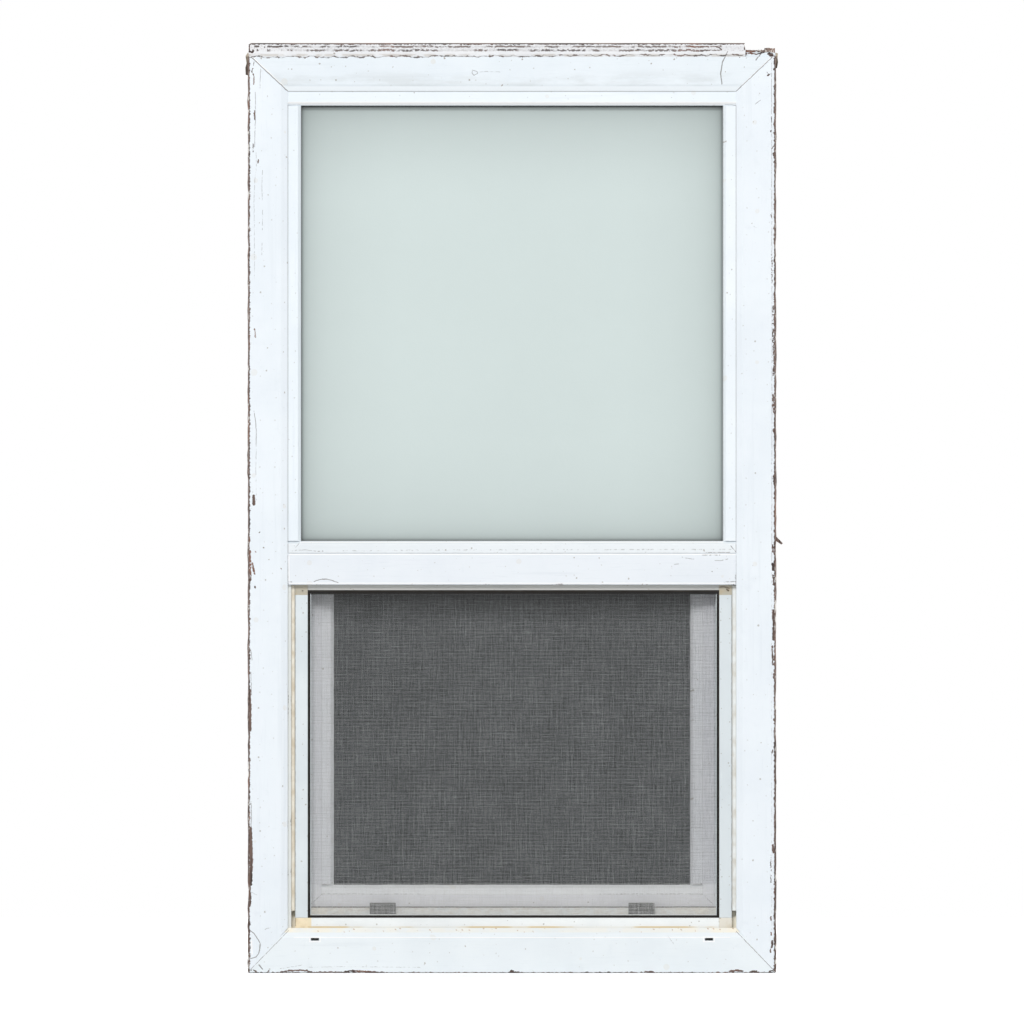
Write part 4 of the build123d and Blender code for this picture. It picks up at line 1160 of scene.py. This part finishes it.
# %% [markdown]
# ### Stops and the shim
# The stops that guide the sash have the same paint, a little greyer, as hands and the sash rub
# it. The thin shim beside the screen is the most worn of them.

# %% stops
for side in ("left", "right"):
    for kind in ("parting", "inside"):
        old_paint(f"{side}_{kind}_stop", "z", shade(232, 238, 242), chips=0.4)
for kind in ("parting", "inside"):
    old_paint(f"head_{kind}_stop", "x", shade(232, 238, 242), chips=0.3)
old_paint("screen_shim", "z", shade(228, 230, 226), chips=0.6)

# %% [markdown]
# ### The sash
# The sash's white is warmer than the frame's, and it is painted lighter as painted light that makes
# up for the shade the mesh casts on it. Its mitre lines and bead joints show through the mesh.

# %% sash
# Painted light: the sash's white is lifted against the shade of the mesh in front of it.
sash_white = shade(246, 246, 250)
sash_lines = [
    ([(310.4, 905), (322, 894.2)], 0.0006, 0.5),
    ([(713.6, 905), (702.2, 894.2)], 0.0006, 0.5),
    ([(321.9, 885), (333.5, 885)], 0.0006, 0.9),
    ([(690, 885), (701.4, 884.7)], 0.0006, 1),
    ([(701.2, 884.4), (701.9, 884.6)], 0.0010, 1),
    ([(322, 894.4), (420, 894.6)], 0.0005, 0.5),
    ([(600, 894.6), (702, 894.5)], 0.0005, 0.6),
    ([(344.4, 887.6), (345.2, 887.8)], 0.0008, 1),
]
for side in ("left", "right"):
    old_paint(f"sash_{side}_stile", "z", sash_white, chips=0.3, cracks=sash_lines)
    old_paint(f"sash_bead_{side}", "z", shade(248, 249, 252), cracks=sash_lines, seam=seam_round, seam_share=0.25)
old_paint("sash_bottom_rail", "x", sash_white, chips=0.3, cracks=sash_lines)
old_paint("check_rail", "x", sash_white, chips=0.3)
for place, lines in (("bottom", sash_lines), ("top", ())):
    old_paint(f"sash_bead_{place}", "x", shade(250, 251, 252), cracks=lines, seam=seam_round, seam_share=0.2)
print("painted:", len([m for m in bpy.data.materials if m.name.startswith("old_paint")]))

# %% [markdown]
# ## Glass
# The upper light is frosted: it scatters the light so much that it looks like pale grey-green
# plastic, darker towards its edges, where the beads and the sealed unit's spacer shade it. That
# needs no real glass, only a colour that fades towards each side of the opening.

# %% fade towards the beads
sight_left, sight_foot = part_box("upper_bead_left")[1].x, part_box("upper_bead_bottom")[1].z
sight_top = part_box("upper_bead_top")[0].z
fade_stops = ((0.0, 0.30), (0.17, 0.36), (0.20, 0.47), (0.26, 0.66), (0.31, 0.73), (0.38, 0.80), (0.51, 0.875),
              (0.6, 0.915), (0.79, 0.965), (1.0, 1.0))


def fade(finish, away):
    """How light the glass is painted at a distance from a side of the opening: painted shade."""
    share = finish.math("POWER", finish.math("DIVIDE", finish.any(away, 0.0), 0.11), 0.4)
    made = finish.node("ShaderNodeValToRGB", {0: share})
    elements = made.color_ramp.elements
    while len(elements) < len(fade_stops):
        elements.new(0.5)
    for element, (position, value) in zip(elements, fade_stops):
        element.position, element.color = position, (value, value, value, 1)
    return made.outputs[0]


print("the opening is", round(-2 * sight_left, 4), "m wide and", round(sight_top - sight_foot, 4), "m high")

# %% [markdown]
# ### Frosted glass
# The painted shade of all the sides is multiplied, and two thin painted shadows lie under the top
# bead. A coat over the soft surface gives it the slight shine of glass.

# %% frosted glass
def frosted(piece):
    """Pale grey-green obscured glass, with painted shade that darkens it towards the beads."""
    finish = Finish(piece, "frosted_glass_" + piece)
    side = finish.math("SUBTRACT", -sight_left, finish.away(finish.x, 0.0))
    foot = finish.math("SUBTRACT", finish.z, sight_foot)
    top = finish.math("SUBTRACT", sight_top, finish.z)
    light = finish.both(*(fade(finish, away) for away in (side, foot, top)))
    light = finish.both(light, finish.ramp(foot, 0.0, 0.25, 0.98, 1.0), finish.ramp(top, 0.0, 0.10, 0.92, 1.0))
    light = finish.both(light, finish.ramp(top, 0.0040, 0.0066, 0.60, 1.0), finish.ramp(top, 0.0008, 0.0020, 0.5, 1.0))
    light = finish.both(light, finish.ramp(finish.noise(6, 3, shift=3.1), 0.3, 0.7, 0.985, 1.0))
    parts = {index: finish.both(light, value) for index, value in enumerate(shade(208, 220, 218)[:3])}
    finish.colour(finish.node("ShaderNodeCombineColor", parts).outputs[0])
    finish.roughness(finish.ramp(finish.noise(40, 4, shift=5.5), 0.3, 0.7, 0.34, 0.44))
    finish.bump(finish.noise(700, 2), 0.00006)
    finish.set(specular=0.25, coat=0.25, coat_roughness=0.15)
    finish.put_on(piece)


frosted("upper_outer_pane")
frosted("upper_inner_pane")

# %% [markdown]
# ### Tinted glass
# The sash's glass is tinted dark, as painted shade that stands in for the unlit room behind it, so
# that it looks dark through the mesh against a pale backdrop too. It lets light through, keeps a
# smooth surface and has faint smears.

# %% tinted glass
def glass(piece, tint, through, rough):
    """Clear or tinted glass with faint smears."""
    finish = Finish(piece, "glass_" + piece)
    smear = finish.noise(14, 5, (1, 1, 0.4), 2.2)
    finish.colour(finish.mix(finish.ramp(smear, 0.3, 0.8), tint, dimmer(tint, 1.5, 1.5, 1.5)))
    finish.roughness(finish.ramp(smear, 0.3, 0.8, rough, rough * 2))
    finish.set(specular=0.5, through=through, ior=1.45)
    finish.put_on(piece)


# Painted shade: the dark tint stands in for the unlit room behind the glass.
glass("sash_outer_pane", shade(40, 43, 44), 0.5, 0.03)
glass("sash_inner_pane", shade(120, 128, 128), 0.7, 0.03)

# %% [markdown]
# ## Screen frame
# The screen's bars are roll-formed aluminium with thin white paint, cooler and smoother than
# the timber. Scuffs run along them, and grime lies along their edges.

# %% painted metal
def painted_metal(piece, along, tone, stains_and_painted_light=None):
    """Thin smooth paint on metal, with scuffs along its length and dirt along its edges."""
    finish = Finish(piece, "painted_metal_" + piece)
    stretch = {"x": (0.03, 1, 1), "z": (1, 1, 0.03)}[along]
    scuff = finish.noise(600, 4, stretch, 1.3)
    cloud = finish.noise(18, 4, shift=2.7)
    darker = dimmer(tone, 0.86, 0.87, 0.88)
    colour = finish.mix(finish.ramp(cloud, 0.35, 0.7, 0, 0.6), tone, darker)
    colour = finish.mix(finish.ramp(scuff, 0.64, 0.78, 0, 0.5), colour, darker)
    for kind in ((60, 0.05, 0.5), (120, 0.07, 0.3)):
        colour = finish.mix(finish.both(finish.spots(*kind, 0.4), 0.5), colour, shade(150, 140, 124))
    shaken = finish.math("ADD", finish.edge(), finish.both(finish.noise(200, 3, shift=4.4), 0.002))
    colour = finish.mix(finish.both(finish.ramp(shaken, 0.0022, 0.0010), 0.45), colour, shade(150, 140, 122))
    if stains_and_painted_light:
        colour = stains_and_painted_light(finish, colour)
    finish.colour(colour)
    finish.roughness(finish.ramp(cloud, 0.3, 0.7, 0.30, 0.42))
    finish.bump(scuff, 0.00008)
    finish.set(specular=0.45)
    finish.put_on(piece)


painted_metal("screen_left_stile", "z", shade(228, 235, 238))
painted_metal("screen_right_stile", "z", shade(220, 227, 230))

# %% [markdown]
# ### Top and foot of the screen
# Two bars have marks of their own: the foot is yellowed along its lower edge, and the top bar, which
# sits under the meeting rail, is painted darker all over and near black at its lower edge, as
# painted shade.

# %% top and foot bars
def foot_stain(finish, colour):
    """Yellowed beside the left key and along the lower edge."""
    colour = finish.mix(finish.beyond_column(311.6, 310.8), colour, shade(243, 228, 196))
    dirty = finish.ramp(finish.noise(16, 3, (1, 0, 0), 4.7), 0.45, 0.6, 0.1, 0.9)
    return finish.mix(finish.both(finish.beyond_row(926.0, 926.8), dirty), colour, shade(226, 204, 158))


def top_painted_shade(finish, colour):
    """Painted shade, near black, on the top bar's lower edge beside the spline, where the meeting rail shades it."""
    return finish.mix(finish.beyond_row(589.7, 590.3), colour, shade(34, 31, 28))


painted_metal("screen_bottom_rail", "x", shade(246, 249, 249), foot_stain)
# Painted shade: the top bar's darker tone and near-black lower edge stand in for the meeting rail's shadow.
painted_metal("screen_top_rail", "x", shade(198, 198, 194), top_painted_shade)

# %% [markdown]
# ### Corner keys
# The keys are moulded plastic that sunlight has yellowed at the foot of the window, most at the
# left. At the top, under the meeting rail, they are painted grey as painted shade. A few marks of dirt
# are drawn on them, and a dark spot is painted shade in the hole of the right top key.

# %% corner keys
key_marks = (
    # The first mark is painted shade in the right top key's hole; the others are dirt.
    ([(726.8, 589.4), (728.6, 590.6)], 0.0010, 0.85),
    ([(716, 587.5), (724, 586.6), (729, 588.4)], 0.0012, 0.6),
    ([(719.4, 916.6), (720, 918)], 0.0012, 0.7),
    ([(295.4, 917.6), (295.4, 926)], 0.0006, 0.6),
)
finish = Finish("screen_corners", "aged_plastic")
left = finish.ramp(finish.x, 0.05, -0.05)
foot_colour = finish.mix(left, shade(230, 225, 213), shade(246, 230, 198))
# Painted shade: the keys at the top, under the meeting rail, are painted grey.
colour = finish.mix(finish.ramp(finish.z, 0.20, 0.10), shade(184, 178, 162), foot_colour)
cloud = finish.noise(110, 4, shift=2.4)
colour = finish.mix(finish.ramp(cloud, 0.45, 0.8, 0, 0.45), colour, shade(186, 160, 112))
shaken = finish.wavy(0.0012, 300)
for points, width, share in key_marks:
    mark = finish.ramp(finish.line(points, width, shaken), 1.0, 0.6)
    colour = finish.mix(finish.both(mark, finish.front(), share), colour, shade(98, 82, 62))
finish.colour(colour)
finish.roughness(finish.ramp(cloud, 0.3, 0.7, 0.42, 0.6))
finish.bump(finish.noise(900, 3), 0.00006)
finish.put_on("screen_corners")

# %% [markdown]
# ### Rubber, plastic and pile
# The spline, tabs, seals and balance tubes are small, so they share one finish: a fine grain,
# cloudy ageing and dirt in the corners, with their own colours and roughness.

# %% rubber, plastic and pile
def moulded(piece, kind, tone, aged, rough):
    """Moulded plastic, rubber or pile."""
    finish = Finish(piece, kind + "_" + piece)
    cloud = finish.noise(60, 4, shift=1.9)
    fine = finish.noise(900, 3)
    colour = finish.mix(finish.ramp(cloud, 0.35, 0.7), tone, aged)
    colour = finish.mix(finish.ramp(fine, 0.55, 0.8, 0, 0.25), colour, dimmer(tone, 0.6, 0.6, 0.6))
    grime = finish.ramp(finish.math("ADD", finish.edge(), finish.both(cloud, 0.001)), 0.0014, 0.0005)
    colour = finish.mix(finish.both(grime, 0.4), colour, shade(92, 82, 66))
    finish.colour(colour)
    finish.roughness(finish.ramp(cloud, 0.3, 0.7, rough - 0.08, rough + 0.1))
    finish.bump(fine, 0.00006)
    finish.set(specular=0.4)
    finish.put_on(piece)


moulded("screen_spline", "rubber", shade(14, 12, 11), shade(30, 26, 23), 0.8)
moulded("screen_tabs", "plastic", shade(30, 30, 30), shade(48, 47, 46), 0.45)
moulded("left_screen_pile", "pile", shade(240, 234, 220), shade(214, 202, 180), 0.9)
moulded("right_screen_pile", "pile", shade(238, 240, 238), shade(214, 210, 200), 0.9)
moulded("upper_tape", "rubber", shade(40, 42, 42), shade(60, 60, 58), 0.6)
moulded("upper_setting_blocks", "rubber", shade(50, 50, 50), shade(70, 70, 68), 0.6)
moulded("sash_sweep", "pile", shade(60, 58, 56), shade(96, 90, 84), 0.8)
moulded("sash_stops", "plastic", shade(216, 216, 210), shade(196, 192, 180), 0.5)
moulded("left_balance_tube", "plastic", shade(222, 224, 222), shade(204, 204, 198), 0.45)
moulded("right_balance_tube", "plastic", shade(222, 224, 222), shade(204, 204, 198), 0.45)

# %% [markdown]
# ### Torn fin
# A bit of a torn fin is left in the kerf at each top corner: brown and fibrous, paler at the top,
# where it still has paint.

# %% torn fin
for name in ("left_flashing", "right_flashing"):
    finish = Finish(name, "torn_fin_" + name)
    fibre = finish.noise(800, 5, (1, 1, 0.3), 2.1, 0.65)
    colour = finish.mix(finish.ramp(finish.z, 1.026, 1.036), shade(84, 72, 64), shade(150, 138, 122))
    colour = finish.mix(finish.ramp(fibre, 0.42, 0.6, 0, 0.75), colour, shade(92, 80, 68))
    cap = finish.ramp(finish.z, 1.0385, 1.0400, 0, 0.7)
    colour = finish.mix(cap, colour, shade(206, 192, 172))
    finish.colour(colour)
    finish.roughness(finish.ramp(fibre, 0.3, 0.7, 0.7, 0.9))
    finish.bump(fibre, 0.0004)
    finish.put_on(name)

# %% [markdown]
# ## Metal
# Lock, lift, screws, balance rods and spacers are metal that has been handled for years: fine
# scratches, dull patches, and colours from brassy to steel.

# %% metal
metal_kinds = (
    # colour, roughness, share of metal, pieces
    (shade(176, 174, 168), 0.35, 0.9, ("frame_screws", "lock_screws")),
    (shade(198, 190, 172), 0.35, 0.8, ("lock_body", "lock_cam", "lock_lever", "lock_keeper")),
    (shade(206, 204, 198), 0.35, 0.8, ("sash_lift",)),
    (shade(188, 186, 182), 0.3, 0.9, ("left_balance_rod", "right_balance_rod")),
    (shade(186, 188, 190), 0.4, 0.9, ("upper_spacer", "sash_spacer")),
)


def worn_metal(piece, tone, rough, metal):
    """Bare or plated metal with fine scratches and dull patches."""
    finish = Finish(piece, "worn_metal_" + piece)
    scratch = finish.noise(1500, 3, (0.05, 1, 1), 1.5)
    cloud = finish.noise(120, 4, shift=3.6)
    bright = (*(min(value * 1.2, 0.9) for value in tone[:3]), 1)
    colour = finish.mix(finish.ramp(cloud, 0.4, 0.75, 0, 0.7), tone, dimmer(tone, 0.6, 0.58, 0.54))
    colour = finish.mix(finish.ramp(scratch, 0.6, 0.75, 0, 0.5), colour, bright)
    finish.colour(colour)
    finish.roughness(finish.ramp(cloud, 0.3, 0.7, rough, rough + 0.2))
    finish.bump(scratch, 0.00005)
    finish.set(metal=metal)
    finish.put_on(piece)


for tone, rough, metal, pieces in metal_kinds:
    for name in pieces:
        worn_metal(name, tone, rough, metal)

# %% [markdown]
# ## The insect screen's mesh
# Fibreglass mesh is woven from round threads a third of a millimetre thick, 18 to the inch one
# way and 16 the other. Straight four-sided threads in two layers show the same grid. One thread
# is modelled, and the rest are copies of it in one mesh, so the weave stays light.

# %% mesh threads
thread_height, thread_depth = 0.00020, 0.00034
low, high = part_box("screen_mesh")
middle = (low + high) / 2


def thread_row(name, axis, step, depth):
    """A row of straight threads that run along an axis, 0 for X and 2 for Z, at a depth."""
    other = 2 - axis
    size = [thread_height, thread_depth, thread_height]
    size[axis] = high[axis] - low[axis]
    count = int((high[other] - low[other]) / step)
    place = [middle.x, depth, middle.z]
    place[other] = middle[other] - step * (count - 1) / 2
    row = cut_box(name, place, size, thread_depth * 2, 42)
    copies = row.modifiers.new("copies", "ARRAY")
    copies.count = count
    copies.use_relative_offset = False
    copies.use_constant_offset = True
    copies.constant_offset_displace = [step if i == other else 0 for i in range(3)]
    bpy.ops.object.modifier_apply(modifier="copies")
    print(name, count, "threads")
    return row


across = thread_row("threads across", 0, 0.00159, middle.y + thread_depth / 2)
upright = thread_row("threads upright", 2, 0.00141, middle.y - thread_depth / 2)
mesh = join([across, upright], "woven_mesh")

# %% [markdown]
# ### Loose weave
# Old mesh isn't a ruled grid: its threads have slid together in places. Clouds of two sizes move
# them sideways, so that they bunch and part, but they stay flat in the screen. The mesh takes the
# place of the plain sheet of the construction model, which is hidden.

# %% loose weave
weave_pushes = (("X", 0.006, 0.0004), ("Z", 0.0055, 0.0004), ("X", 0.0016, 0.0009), ("Z", 0.0015, 0.0009))
push_by_clouds(mesh, weave_pushes, 2)
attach(mesh, "frame")
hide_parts("screen_mesh")
print("faces in the mesh:", len(mesh.data.polygons))

# %% [markdown]
# ### Grey thread
# Grey coated thread, lighter and darker from crossing to crossing, with single pale threads. Dust
# has settled on the lowest threads and at the left, and the highest, under the rail, are painted dark
# as the rail's painted shadow.

# %% grey thread
finish = Finish(mesh, "grey_thread")
cloud = finish.noise(22, 5, shift=1.2)
colour = finish.mix(finish.ramp(cloud, 0.35, 0.7), shade(145, 148, 149), shade(160, 163, 164))
pale = finish.ramp(finish.noise(500, 2, (1, 1, 0.02), 4.4), 0.6, 0.75, 0, 0.25)
colour = finish.mix(pale, colour, shade(186, 188, 188))
crossing = finish.noise(430, 3, shift=3.3)
colour = finish.mix(finish.ramp(crossing, 0.46, 0.30, 0, 0.5), colour, shade(122, 124, 125))
colour = finish.mix(finish.ramp(crossing, 0.54, 0.68, 0, 0.45), colour, shade(188, 190, 191))
dust = finish.any(finish.beyond_row(882, 886, 0, 0.9), finish.beyond_column(336, 333, 0, 0.45))
colour = finish.mix(dust, colour, shade(222, 223, 221))
# Painted shadow: the highest threads, under the meeting rail, fade towards near black.
for start, end, share in ((630, 604, 0.44), (608, 592, 0.64)):
    colour = finish.mix(finish.beyond_row(start, end, 0, share), colour, shade(14, 14, 14))
finish.colour(colour)
finish.roughness(finish.ramp(cloud, 0.3, 0.7, 0.5, 0.7))
finish.bump(finish.noise(2500, 2), 0.00003)
finish.set(specular=0.3)
finish.put_on(mesh)

# %% [markdown]
# ## Measure
# How far the dressed window reaches past the box of the construction model, on each side, is
# printed.

# %% measure
low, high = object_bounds()
print("past the construction model:", [round(float(b - a), 5) for a, b in zip((*low, *cad_high), (*cad_low, *high))])
